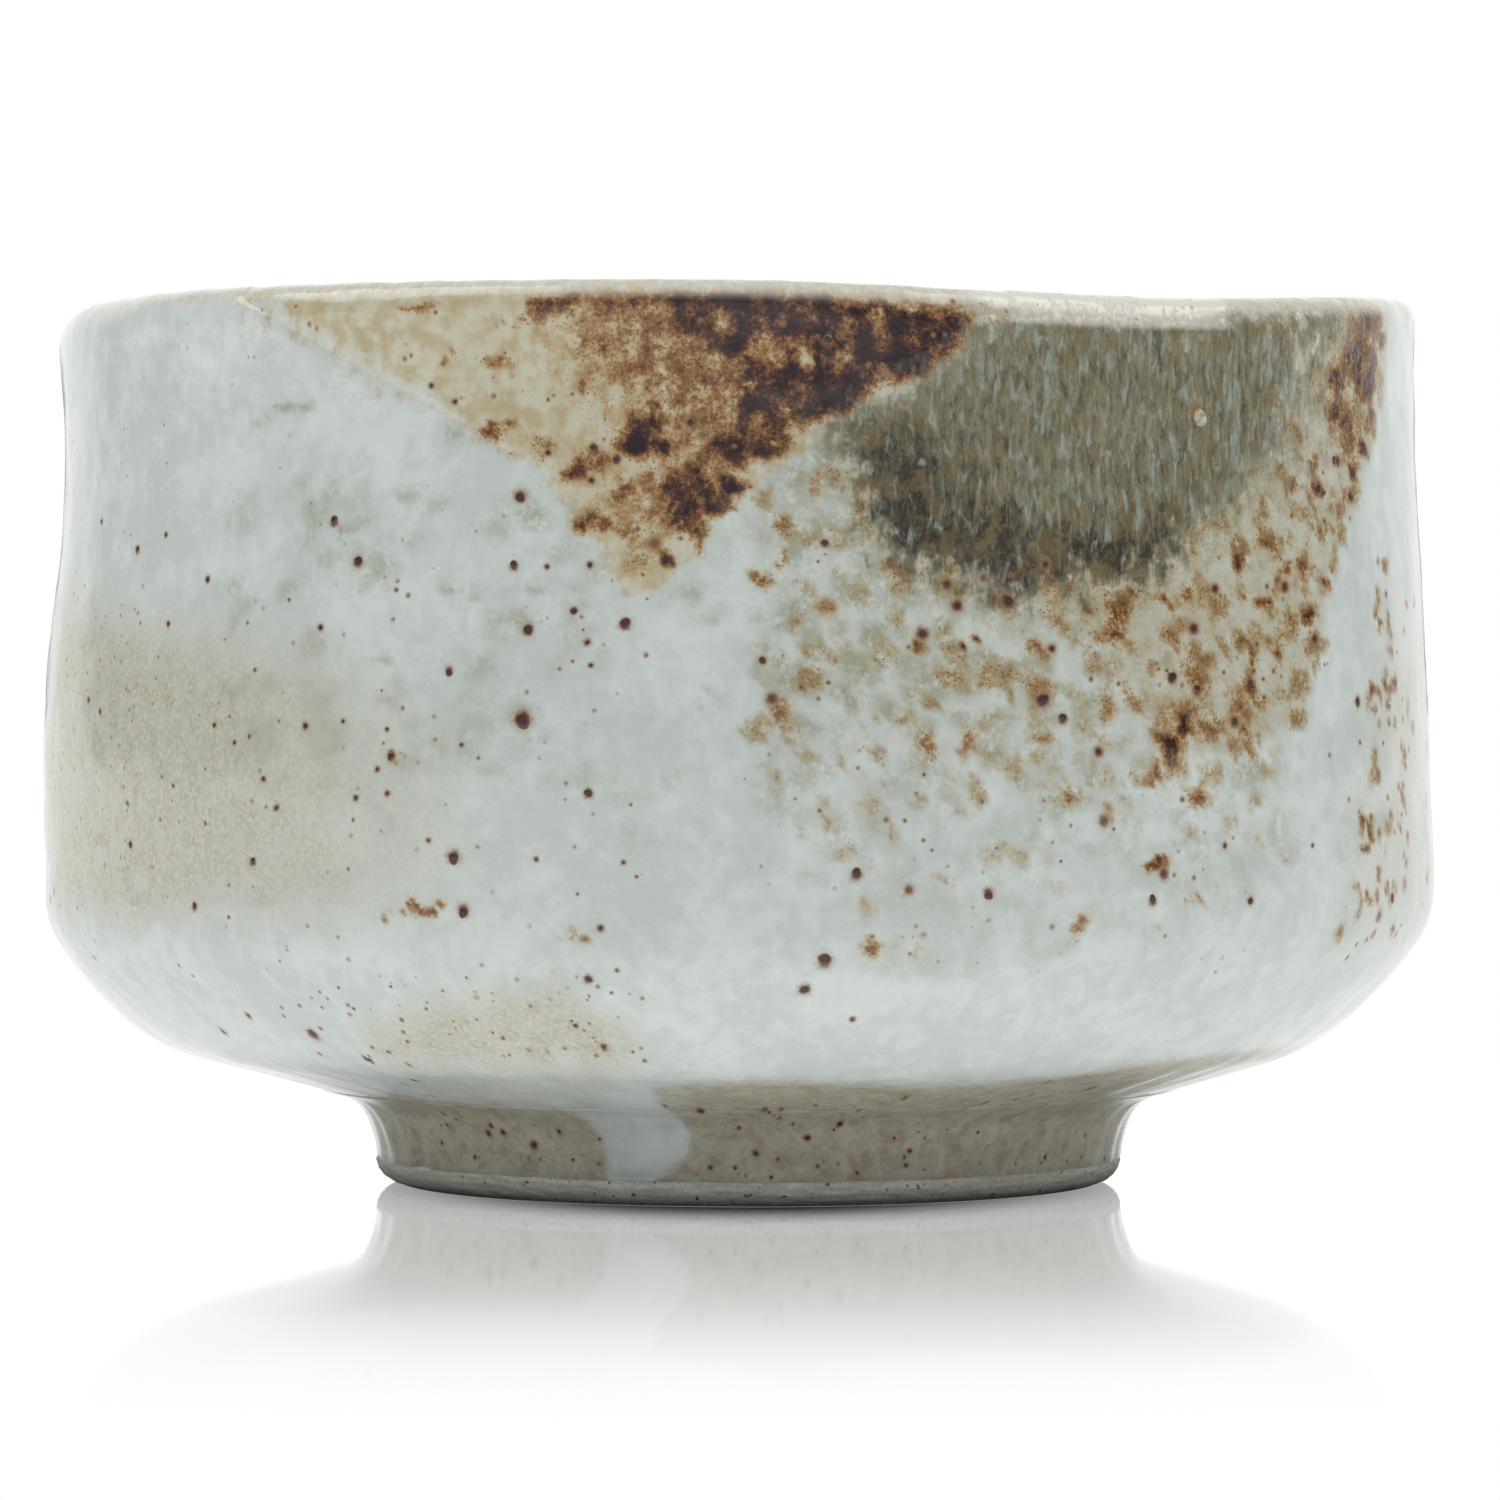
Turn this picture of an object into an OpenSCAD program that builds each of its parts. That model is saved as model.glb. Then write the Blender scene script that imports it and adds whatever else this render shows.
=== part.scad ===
// Hand-thrown tea bowl: a clay body on a turned foot ring, with its glazes as separate fired coats.
// Millimetres, +Z up. The origin is on the table, on the axis of the bowl's wall. The front faces -Y.

/* [Bowl] */
// Height from the table to the crown of the lip
bowl_h = 76; // [72:1:80]
// Widest outer diameter, at the belly
belly_d = 119.8; // [114:0.1:124]
// How far the wall draws in from the belly to the neck
neck_in = 1.6; // [0.8:0.1:2.4]
// Thickness of the rounded lip
lip_t = 4; // [3.4:0.1:4.6]
// Wall thickness at the bottom of the well
wall_t = 5.5; // [5:0.1:6.5]
// Height of the well's floor above the table
floor_z = 15.5; // [15:0.1:17]

/* [Foot] */
// Diameter of the ring that touches the table
foot_contact_d = 60.6; // [56:0.1:62]
// Width of the touching face
foot_contact_w = 4; // [3:0.1:5]
// Height of the bare bevel at the bottom of the foot
foot_bevel_h = 2.2; // [1.6:0.1:2.8]
// How far the foot sits to the right of the wall's axis
foot_offset = 1.1; // [0:0.1:1.5]

/* [Glaze] */
// Thickness of the speckled base glaze
base_t = 0.4; // [0.3:0.05:0.5]
// Thickness of the white glaze over it
white_t = 0.5; // [0.4:0.05:0.6]
// How far the ash glaze stands above the white
ash_rise = 0.25; // [0.15:0.05:0.4]
// How far the iron spots stand out of the white
spot_rise = 0.12; // [0.08:0.02:0.2]

/* [Hidden] */
$fn = 96;

belly_r = belly_d / 2;
coat = base_t + white_t;
lip_round = lip_t / 2;
arc_steps = 8;

// Wall: the belly is the widest height and the neck the narrowest
belly_z = 34;
neck_z = 66;
hip_top_z = 25.3;

// Hip arcs from the wall down to the underside: [radius, slope at its top, slope at its bottom]
hip = [[7.9, 90, 56], [34, 56, 42], [16.5, 42, 16]];
under_slope = 16;
under_r = 34;

// Well: the rounded corner, and the tea pool sunk in the middle of its floor
well_corner = 14;
pool_r = 21;
pool_depth = 1.2;
pool_edge = 5;

// Foot, from the bevel's top to where its glaze ends under the bowl
foot_r = foot_contact_d / 2;
foot_waist = [[foot_r + 1.9, foot_bevel_h], [foot_r + 2.2, 4], [foot_r + 2.6, 5.4], [foot_r + 3.3, 6.6],
              [foot_r + 4.5, 7.5], [foot_r + 6.3, 8.1]];
foot_skirt_r = foot_r + 6.3;
foot_glaze_t = 0.5;
below_hip = 1;
foot_well_wall = foot_r - foot_contact_w - 1;
foot_well_bevel_h = 0.8;

// How far the run of white glaze stands out of the foot: [outward, down]
run_rise = [0.35, -0.25];

// Windows in the white glaze, as seen from the front: [right, up]
rust_window = [[-44, 80], [-41, 74], [-30, 67.5], [-21, 63], [-14, 58], [-10.5, 53.5], [-7.5, 50.5], [-3, 54],
               [4, 61.5], [11, 66.5], [18, 69], [19, 80]];
ash_window = [[19, 80], [18, 69], [11, 66.5], [8, 63.5], [9.5, 59], [12, 55], [19, 52], [30, 51.5], [38, 54],
              [45, 57], [51, 59], [54, 65], [55.5, 80]];
run_window = [[-15, 12], [-13, 6.5], [-10.5, 4.5], [-9.5, 2.6], [-6, 2.6], [-4.5, 5], [-4.5, 12]];

// Iron spots on the wall: [degrees right of the front, height, diameter]
spots = [[-16, 40.7, 1.5], [-33.2, 56.4, 0.8], [-30.6, 53.1, 1], [-8.4, 48.3, 1], [-16, 47.7, 1],
         [-16.8, 58.3, 1.2], [-22.4, 44.6, 0.7], [-35.1, 40, 0.7], [-21.8, 29.8, 1.2], [-21, 25.5, 1],
         [-11.1, 34.8, 0.9], [-27.2, 37.7, 0.8], [-38, 33.4, 0.7], [-29.5, 34.8, 0.7], [7, 21.7, 1.1],
         [5.6, 19.5, 1], [9.2, 28.2, 1], [24.2, 42.2, 1.2], [25.8, 40.6, 0.8], [36, 43.9, 0.9],
         [19.6, 26.9, 0.8], [43.9, 25.8, 0.8], [33.6, 26, 0.8], [21.3, 50.2, 1.5]];

// Glaze bubble on the ash glaze: [degrees right of the front, height, diameter]
bead = [39.5, 64.8, 1.3];

// Outer radius of the wall at height z
function wall_r(z) = belly_r - neck_in * pow(sin(90 * max(0, z - belly_z) / (neck_z - belly_z)), 2);

// Point reached by going down an arc of radius rho from slope a to slope b
function arc_end(start, rho, a, b) = start - rho * [sin(a) - sin(b), cos(b) - cos(a)];
function arc_down(start, arc) =
    [for (i = [1 : arc_steps]) arc_end(start, arc[0], arc[1], arc[1] + (arc[2] - arc[1]) * i / arc_steps)];

// Points on a circle from angle a to angle b
function round_arc(centre, rho, a, b) =
    [for (i = [0 : arc_steps]) let (t = a + (b - a) * i / arc_steps) centre + rho * [cos(t), sin(t)]];

// Outer outline, from the lip's crown down to the underside beside the foot
lip_centre = [wall_r(bowl_h - lip_round) - lip_round, bowl_h - lip_round];
lip_outer = round_arc(lip_centre, lip_round, 90, 0);
wall_steps = 14;
wall_outer = [for (i = [1 : wall_steps]) let (z = lip_centre.y + (hip_top_z - lip_centre.y) * i / wall_steps)
              [wall_r(z), z]];
hip_0 = arc_down([belly_r, hip_top_z], hip[0]);
hip_1 = arc_down(hip_0[arc_steps - 1], hip[1]);
hip_2 = arc_down(hip_1[arc_steps - 1], hip[2]);
hip_end = hip_2[arc_steps - 1];
under_end = [under_r, hip_end.y - (hip_end.x - under_r) * tan(under_slope)];
outer_down = concat(lip_outer, wall_outer, hip_0, hip_1, hip_2, [under_end]);
outer_up = [for (i = [len(outer_down) - 1 : -1 : 0]) outer_down[i]];
crown = len(outer_up) - 1;

// Inner outline, from the crown down the well to its centre
well_wall_r = belly_r - wall_t;
lip_inner = [for (i = [1 : arc_steps]) round_arc(lip_centre, lip_round, 90, 180)[i]];
well_corner_arc = round_arc([well_wall_r - well_corner, floor_z + well_corner], well_corner, 0, -90);
pool_arc = [for (i = [0 : arc_steps]) let (t = i / arc_steps)
            [pool_r + pool_edge * (0.5 - t), floor_z - pool_depth * (1 - cos(180 * t)) / 2]];
well_centre = [[1, floor_z - pool_depth], [0, floor_z - pool_depth]];
section = concat(outer_up, lip_inner, well_corner_arc, pool_arc, well_centre);
last = len(section) - 1;

// The section's point i, moved into the wall by depth along its normal
function direction(i) = section[min(i + 1, last)] - section[max(i - 1, 0)];
function inset(i, depth) =
    let (d = direction(i) / norm(direction(i)), p = section[i] - depth * [d.y, -d.x]) [max(0, p.x), p.y];
function inset_path(depth, from, to) = [for (i = [from : sign(to - from) : to]) inset(i, depth)];

clay_under_z = inset(0, coat).y;
foot_skirt_top = hip_end.y - below_hip;
foot_well_top = clay_under_z - foot_glaze_t;
foot_well_r = foot_well_wall - foot_glaze_t;

// A closed ring of wall between two depths, for part of the section
module coat_ring(outer_depth, inner_depth, from, to) {
    rotate_extrude()
        polygon(concat(inset_path(outer_depth, from, to), inset_path(inner_depth, to, from)));
}

// A front-view outline pushed back to the middle of the bowl
module front_prism(outline) {
    rotate([90, 0, 0])
        linear_extrude(belly_d)
            polygon(outline);
}

module on_foot_axis() {
    translate([foot_offset, 0, 0])
        children();
}

module clay_solid() {
    rotate_extrude()
        polygon(concat([[0, clay_under_z]], inset_path(coat, 0, last)));
}

module foot_solid() {
    on_foot_axis()
        rotate_extrude()
            polygon([[foot_r - foot_contact_w, 0], [foot_r, 0], [foot_r + 1.9, foot_bevel_h],
                     [foot_r + 1.9 - foot_glaze_t, foot_bevel_h],
                     [foot_r + 2.2 - foot_glaze_t, clay_under_z], [foot_well_wall, clay_under_z],
                     [foot_well_wall, foot_well_bevel_h]]);
}

// Everything as near the foot's axis as its glaze skirt reaches
module foot_skirt_bounds() {
    on_foot_axis()
        cylinder(r = foot_skirt_r, h = hip_top_z);
}

module clay_body() {
    color("gainsboro")
        clay_solid();
}

module foot_ring() {
    color("whitesmoke")
        foot_solid();
}

module base_glaze() {
    color("tan")
        difference() {
            coat_ring(white_t, coat, 0, crown);
            foot_skirt_bounds();
        }
}

module white_glaze() {
    color("azure")
        difference() {
            coat_ring(0, white_t, 0, crown);
            foot_skirt_bounds();
            front_prism(rust_window);
            front_prism(ash_window);
        }
}

module rust_glaze() {
    color("saddlebrown")
        intersection() {
            coat_ring(0, white_t, 0, crown);
            front_prism(rust_window);
        }
}

module ash_glaze() {
    color("darkolivegreen")
        intersection() {
            coat_ring(-ash_rise, white_t, 0, crown);
            front_prism(ash_window);
        }
}

module well_glaze() {
    color("mintcream")
        coat_ring(0, coat, crown, last);
}

module foot_glaze() {
    color("burlywood")
        difference() {
            on_foot_axis()
                rotate_extrude()
                    polygon(concat(foot_waist, [[foot_skirt_r, foot_skirt_top], [foot_r, foot_skirt_top],
                                                [foot_r, foot_bevel_h]]));
            clay_solid();
            foot_solid();
        }
}

module foot_well_glaze() {
    color("wheat")
        on_foot_axis()
            rotate_extrude()
                polygon([[0, foot_well_top], [foot_well_r, foot_well_top], [foot_well_r, foot_bevel_h],
                         [foot_well_wall, foot_bevel_h], [foot_well_wall, clay_under_z], [0, clay_under_z]]);
}

module white_glaze_run() {
    color("aliceblue")
        intersection() {
            on_foot_axis()
                rotate_extrude()
                    polygon(concat(foot_waist, [for (i = [len(foot_waist) - 1 : -1 : 0])
                                                foot_waist[i] + run_rise]));
            front_prism(run_window);
            foot_skirt_bounds();
        }
}

// A round peg that stands out of the wall at an angle and a height
module wall_peg(angle, height, diameter) {
    translate([0, 0, height])
        rotate([90, 0, angle])
            cylinder(d = diameter, h = belly_d);
}

module iron_spots() {
    color("black")
        for (spot = spots)
            intersection() {
                coat_ring(-spot_rise, 0, 0, crown);
                wall_peg(spot[0], spot[1], spot[2]);
            }
}

module glaze_bead() {
    color("lightyellow")
        intersection() {
            coat_ring(-2 * ash_rise, -ash_rise, 0, crown);
            wall_peg(bead[0], bead[1], bead[2]);
        }
}

clay_body();
foot_ring();
base_glaze();
white_glaze();
rust_glaze();
ash_glaze();
well_glaze();
foot_glaze();
foot_well_glaze();
white_glaze_run();
iron_spots();
glaze_bead();
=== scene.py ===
"""A hand-thrown matcha bowl: white, ash and rust glazes over stoneware, on a glossy white table."""
import math

import bpy
import numpy as np
from mathutils import Matrix, Vector


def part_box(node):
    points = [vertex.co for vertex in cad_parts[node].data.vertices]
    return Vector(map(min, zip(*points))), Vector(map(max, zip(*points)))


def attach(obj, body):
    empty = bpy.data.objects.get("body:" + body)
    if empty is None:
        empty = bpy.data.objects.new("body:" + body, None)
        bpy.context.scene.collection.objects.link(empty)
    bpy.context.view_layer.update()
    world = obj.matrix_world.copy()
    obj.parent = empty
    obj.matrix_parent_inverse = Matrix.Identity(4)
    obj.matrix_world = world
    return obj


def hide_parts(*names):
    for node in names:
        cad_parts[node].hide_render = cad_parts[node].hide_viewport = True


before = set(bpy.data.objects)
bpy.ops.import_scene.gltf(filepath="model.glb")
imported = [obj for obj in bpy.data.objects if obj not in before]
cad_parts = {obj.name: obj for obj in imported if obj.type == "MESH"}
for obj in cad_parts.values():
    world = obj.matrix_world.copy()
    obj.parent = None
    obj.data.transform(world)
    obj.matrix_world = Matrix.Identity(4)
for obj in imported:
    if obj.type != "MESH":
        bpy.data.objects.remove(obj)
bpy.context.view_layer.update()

# Shapes are worked out in millimetres. An azimuth of 0 degrees is the front, -Y, and +90 is the right, +X.
MM = 0.001


def low_high(node):
    """A CAD node's lowest and highest corners, in millimetres."""
    low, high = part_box(node)
    return np.array(low) / MM, np.array(high) / MM


# ---------------------------------------------------------------- sizes, from the frame
_, glaze_high = low_high("white_glaze")
foot_low, foot_high = low_high("foot_ring")
waist_low, waist_high = low_high("foot_glaze")
recess_low, recess_high = low_high("foot_well_glaze")

BELLY_R = glaze_high[0]
RIM_Z = glaze_high[2]
FOOT_X = (foot_low[0] + foot_high[0]) / 2
FOOT_TOP = foot_high[2]
FOOT_R = (foot_high[0] - foot_low[0]) / 2 - 1.9
SKIRT_R = (waist_high[0] - waist_low[0]) / 2
BEVEL_Z = waist_low[2]
RECESS_R = (recess_high[0] - recess_low[0]) / 2
RECESS_TOP = recess_high[2]
# The base and white coats together
COAT = 0.9

# The well: its wall, the rounded corner, and the tea pool in the middle of its floor
WELL_R = BELLY_R - 5.5
WELL_CORNER = 14.0
FLOOR_Z = 15.5
WELL_CORNER_TOP = FLOOR_Z + WELL_CORNER
POOL_R, POOL_DEPTH = 21.0, 1.2
DEGREE_MM = math.radians(1) * BELLY_R

# Wall heights: the hip's top, the belly and the neck
HIP_Z, BELLY_Z, NECK_Z = 25.3, 34.0, 66.0
NECK_IN = 1.6


# ---------------------------------------------------------------- small maths
def smooth(x, low, high):
    """0 below low, 1 above high, and an S curve between."""
    t = np.clip((x - low) / (high - low), 0, 1)
    return t * t * (3 - 2 * t)


def fall(x, low, high):
    """1 below low, 0 above high, and an S curve between."""
    return smooth(-x, -high, -low)


def half_turn(degrees):
    """The same angle, between -180 and 180."""
    return (degrees + 180) % 360 - 180


def bump(x, centre, width):
    """A round bump of height 1."""
    return np.exp(-((x - centre) / width) ** 2)


def round_the_bowl(azimuth, marks):
    """A smooth curve through (azimuth, value) marks that closes on itself behind the bowl."""
    fine = np.arange(-180, 180)
    places, values = zip(*sorted(marks))
    line = np.interp(fine, places, values, period=360)
    spread = np.exp(-(np.arange(-12, 13) / 6.0) ** 2)
    closed = np.concatenate([line[-12:], line, line[:12]])
    line = np.convolve(closed, spread / spread.sum(), mode="valid")
    return np.interp(azimuth, fine, line, period=360)


def ripples(azimuth, height, size, count, seed):
    """A smooth random field of unit strength, with bumps of about the given size in millimetres."""
    draw = np.random.default_rng(seed)
    turns = 2 * math.pi * BELLY_R / size
    total = np.zeros(np.broadcast(azimuth, height).shape)
    for _ in range(count):
        slope = draw.uniform(0, 2 * math.pi)
        around = round(turns * math.cos(slope) * draw.uniform(0.6, 1.4))
        up = 2 * math.pi / size * math.sin(slope) * draw.uniform(0.6, 1.4)
        total += np.cos(around * np.radians(azimuth) + up * height + draw.uniform(0, 2 * math.pi))
    return total * math.sqrt(2 / count)


# ---------------------------------------------------------------- the bowl's shape
# Height of the lip round the bowl: it dips to the right of the front
LIP_HEIGHTS = [(-120, 75.1), (-84, 75.2), (-66, 75.4), (-48, 75.6), (-20, 75.6), (0, 75.5), (9, 75.2),
               (18, 74.85),
               (27, 74.6), (37, 74.4), (46, 74.6), (55, 75.0), (66, 75.5), (80, 75.95), (95, 76.0),
               (130, 75.6),
               (165, 75.0), (200, 75.4)]
# How round the lip's outer edge is, and how far down it starts
LIP_OUT = [(-110, 2.3), (-84, 2.8), (-45, 2.2), (0, 1.9), (32, 2.3), (60, 2.0), (84, 1.5),
           (120, 1.8), (180, 2.2)]
LIP_DROP = [(-110, 2.6), (-84, 3.4), (-45, 2.6), (-30, 2.5), (0, 1.8), (22, 3.5), (42, 3.4), (60, 2.4),
            (84, 1.6),
            (120, 2.0), (180, 2.4)]
LIP_IN, LIP_IN_DROP = 2.1, 3.0


def wobble(azimuth, z):
    """How far the thrown wall leans out of round."""
    side = np.sin(np.radians(azimuth))
    lean = side * (0.3 * bump(z, 57, 10) + 0.35 * bump(z, 27, 6))
    oval = 0.25 * np.sin(np.radians(2 * azimuth) + 0.4) * smooth(z, 20, 70)
    return lean + oval + 0.05 * ripples(azimuth, z, 26, 24, 3) * smooth(z, 12, 24)


def wall_radius(azimuth, z):
    """The wall's outer radius, which draws in from the belly to the neck."""
    draw_in = NECK_IN * np.sin(np.pi / 2 * np.clip((z - BELLY_Z) / (NECK_Z - BELLY_Z), 0, 1.25)) ** 2
    return BELLY_R - draw_in + wobble(azimuth, z)


def arc_down(start, radius, top_slope, low_slope, step):
    """Points down an arc that turns from one slope to another, in degrees from the horizontal."""
    count = max(2, round(radius * math.radians(top_slope - low_slope) / step))
    a = np.radians(np.linspace(top_slope, low_slope, count + 1))[1:]
    top = math.radians(top_slope)
    inward = radius * (math.sin(top) - np.sin(a))
    down = radius * (np.cos(a) - math.cos(top))
    return np.stack([start[0] - inward, start[1] - down], 1)


def hip_outline(step):
    """The hip below the wall, as (radius, height), down to where the foot's glaze starts."""
    points = [np.array([[BELLY_R, HIP_Z]])]
    for radius, top_slope, low_slope in ((7.9, 90, 56), (34, 56, 42), (16.5, 42, 16)):
        points.append(arc_down(points[-1][-1], radius, top_slope, low_slope, step))
    end = points[-1][-1]
    flat = np.linspace(end[0], SKIRT_R - 1.5, max(2, round((end[0] - SKIRT_R) / step)) + 1)[1:]
    points.append(np.stack([flat, end[1] - (end[0] - flat) * math.tan(math.radians(16))], 1))
    return np.concatenate(points)


class Surface:
    """A grid of points round the bowl, whose rows run from the inside over the lip and down the outside.

    Each point has its azimuth, and its place in the pattern: the height on the outside, and from the lip on
    the distance down the inside.
    """

    def __init__(self, azimuth, radius, height, pattern, shift=0.0):
        self.azimuth, self.pattern = azimuth + 0 * radius, pattern
        turn = np.radians(self.azimuth)
        self.points = np.stack([radius * np.sin(turn) + shift, -radius * np.cos(turn), height], -1)
        down = np.gradient(self.points, axis=0)
        if self.azimuth[0, -1] - self.azimuth[0, 0] > 350:
            around = np.roll(self.points, -1, 1) - np.roll(self.points, 1, 1)
        else:
            around = np.gradient(self.points, axis=1)
        normal = np.cross(down, around)
        self.normals = normal / np.maximum(np.linalg.norm(normal, axis=-1, keepdims=True), 1e-9)

    @classmethod
    def joined(cls, surfaces):
        """Several grids with the same azimuths as one, row after row."""
        whole = cls.__new__(cls)
        for name in ("azimuth", "pattern", "points", "normals"):
            setattr(whole, name, np.concatenate([getattr(surface, name) for surface in surfaces]))
        return whole

    def lift(self, amount):
        """Moves the grid out along its normals, in millimetres."""
        self.points = self.points + self.normals * np.broadcast_to(amount, self.azimuth.shape)[..., None]
        return self

    def rows_between(self, low, high):
        """Only the rows whose middle lies between two places in the pattern."""
        middle = self.pattern.mean(1)
        keep = np.flatnonzero((middle >= low) & (middle <= high))
        for name in ("azimuth", "pattern", "points", "normals"):
            setattr(self, name, getattr(self, name)[keep])
        return self


def columns(front_mm, back_mm):
    """Azimuths right round the bowl, closer together at the front."""
    fine = np.linspace(-180, 180, 3601)
    step = front_mm + (back_mm - front_mm) * smooth(np.abs(fine), 82, 100)
    count = np.concatenate([[0], np.cumsum(0.1 * DEGREE_MM / step[:-1])])
    total = round(count[-1])
    return np.interp(np.arange(total) * count[-1] / total, count, fine)


def lip_crown(a):
    """The height and the radius of the lip's crown, and how far below it the wall starts."""
    crown, drop = round_the_bowl(a, LIP_HEIGHTS), round_the_bowl(a, LIP_DROP)
    return crown, wall_radius(a, crown - drop) - round_the_bowl(a, LIP_OUT), drop


def inner_wall(a, height, crown, crown_r):
    """The well's radius from its corner up to the lip."""
    up = (height - WELL_CORNER_TOP) / (crown - LIP_IN_DROP - WELL_CORNER_TOP)
    base = WELL_R + 0.9 * wobble(a, height)
    rings = 0.06 * np.cos(2 * np.pi * height / 5.2 + np.radians(a))
    rings *= smooth(height, 32, 38) * fall(height, 62, 70)
    return base + (crown_r - LIP_IN - base) * smooth(up, 0.35, 1) + rings


def outside(azimuths, rows_mm):
    """From just inside the lip over its crown, and down the wall and the hip to the skirt by the foot."""
    a = azimuths[None, :]
    crown, crown_r, drop = lip_crown(a)
    inner_z = crown - LIP_IN_DROP - np.arange(6, 0, -1)[:, None] * 1.1
    inner_r = inner_wall(a, inner_z, crown, crown_r)
    inner_r[0] += 0.5
    turn = np.radians(np.arange(180, 90, -9))[:, None]
    over_r = crown_r + LIP_IN * np.cos(turn)
    over_z = crown - LIP_IN_DROP + LIP_IN_DROP * np.sin(turn)
    turn = np.radians(np.arange(90, 0, -8))[:, None]
    out = round_the_bowl(a, LIP_OUT)
    lip_r = crown_r + out * np.cos(turn)
    lip_z = crown - drop + drop * np.sin(turn)
    f = np.linspace(1, 0, round((RIM_Z - HIP_Z) / rows_mm), endpoint=False)[:, None]
    wall_z = HIP_Z + f * (crown - drop - HIP_Z)
    hip = hip_outline(rows_mm)
    hip_z = hip[:, 1:2] + 0 * a
    tuck = 0.4 * fall(hip[:, 0:1], SKIRT_R - 0.9, SKIRT_R + 0.7)
    hip_r = hip[:, 0:1] + wobble(a, hip_z) * smooth(hip_z, 9, 16)
    radius = np.concatenate([inner_r, over_r, lip_r, wall_radius(a, wall_z), hip_r])
    height = np.concatenate([inner_z, over_z, lip_z, wall_z, hip_z + tuck])
    inside_rows = len(inner_r) + len(over_r)
    pattern = height.copy()
    pattern[:inside_rows] = 2 * crown - height[:inside_rows]
    return Surface(a, radius, height, pattern, FOOT_X * fall(height, 8.5, 13))


def well(azimuths, rows_mm):
    """From the middle of the well's floor, out along it and up the wall to just under the lip."""
    a = azimuths[None, :]
    crown, crown_r, _ = lip_crown(a)
    f = np.linspace(1, 0, round((RIM_Z - WELL_CORNER_TOP) / rows_mm), endpoint=False)[:, None]
    wall_z = WELL_CORNER_TOP + f * (crown - LIP_IN_DROP - 4.4 - WELL_CORNER_TOP)
    wall_r = inner_wall(a, wall_z, crown, crown_r) + 0.4 * smooth(wall_z - crown + LIP_IN_DROP, -5.5, -4.4)
    turn = np.radians(np.linspace(0, 90, round(WELL_CORNER * 1.57 / rows_mm), endpoint=False))[:, None]
    corner_r = WELL_R - WELL_CORNER + (WELL_CORNER + 0.9 * wobble(a, WELL_CORNER_TOP)) * np.cos(turn)
    corner_z = WELL_CORNER_TOP - WELL_CORNER * np.sin(turn) + 0 * a
    floor_r = np.linspace(WELL_R - WELL_CORNER, 0.6, round((WELL_R - WELL_CORNER) / rows_mm))[:, None] + 0 * a
    spiral = 0.07 * np.cos(2 * np.pi * floor_r / 4.2 - np.radians(a)) * smooth(floor_r, 1, 6)
    pool = POOL_DEPTH * (1 - smooth(floor_r, POOL_R - 2.5, POOL_R + 2.5))
    floor_z = FLOOR_Z - pool + spiral * fall(floor_r, 34, 40)
    radius = np.concatenate([wall_r, corner_r, floor_r])
    height = np.concatenate([wall_z, corner_z, floor_z])
    pattern = 2 * crown - height + np.maximum(0, WELL_R - WELL_CORNER - radius)
    return Surface(a, radius[::-1], height[::-1], pattern[::-1])


def foot_outline(step):
    """The glazed side of the foot, from the skirt under the bowl down to the bare bevel."""
    r = FOOT_R
    marks = np.array([[SKIRT_R + 1.0, 8.34], [SKIRT_R + 0.4, 8.26], [r + 4.5, 7.55], [r + 3.35, 6.7],
                      [r + 2.7, 5.5],
                      [r + 2.25, 4.0], [r + 1.9, BEVEL_Z]])
    length = np.concatenate([[0], np.cumsum(np.linalg.norm(np.diff(marks, axis=0), axis=1))])
    places = np.linspace(0, length[-1], round(length[-1] / step))
    line = np.stack([np.interp(places, length, marks[:, k]) for k in (0, 1)], 1)
    for _ in range(5):
        line[1:-1] = (line[:-2] + 2 * line[1:-1] + line[2:]) / 4
    return line


def foot_side(azimuths, rows_mm):
    """Down the glazed side of the foot."""
    outline = foot_outline(rows_mm)
    a = azimuths[None, :]
    z = outline[:, 1:2] + 0 * a
    uneven = 0.05 * ripples(a, z, 9, 16, 11) + 0.12 * np.sin(np.radians(2 * a) + 1)
    return Surface(a, outline[:, 0:1] + uneven * fall(z, 7, 8.2), z, z, FOOT_X)


def foot_recess(azimuths, rows_mm):
    """From the bottom of the recess's wall up it, and in along its ceiling to the middle."""
    a = azimuths[None, :]
    wall_z = np.arange(BEVEL_Z, RECESS_TOP - 1.6, rows_mm)[:, None]
    wall_r = RECESS_R - 0.5 + 0 * wall_z
    turn = np.radians(np.linspace(0, 90, 8, endpoint=False))[:, None]
    corner_r = RECESS_R - 2 + 1.5 * np.cos(turn)
    corner_z = RECESS_TOP - 2 + 1.5 * np.sin(turn)
    top_r = np.linspace(RECESS_R - 2, 0.6, round((RECESS_R - 2) / rows_mm))[:, None]
    top_z = RECESS_TOP - 0.5 - 0.45 * (1 - top_r / RECESS_R) ** 2 + 0.05 * np.cos(2 * np.pi * top_r / 2.3)
    radius = np.concatenate([wall_r, corner_r, top_r]) + 0 * a
    height = np.concatenate([wall_z, corner_z, top_z]) + 0 * a
    pattern = -height - np.maximum(0, RECESS_R - 2 - radius)
    return Surface(a, radius, height, pattern, FOOT_X)


# ---------------------------------------------------------------- meshes
def new_object(name, points, faces):
    """A smooth-shaded piece from points in millimetres."""
    mesh = bpy.data.meshes.new(name)
    mesh.from_pydata((points * MM).tolist(), [], faces)
    mesh.polygons.foreach_set("use_smooth", np.ones(len(mesh.polygons), bool))
    mesh.set_sharp_from_angle(angle=math.radians(50))
    piece = bpy.data.objects.new(name, mesh)
    bpy.context.collection.objects.link(piece)
    return piece


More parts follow.
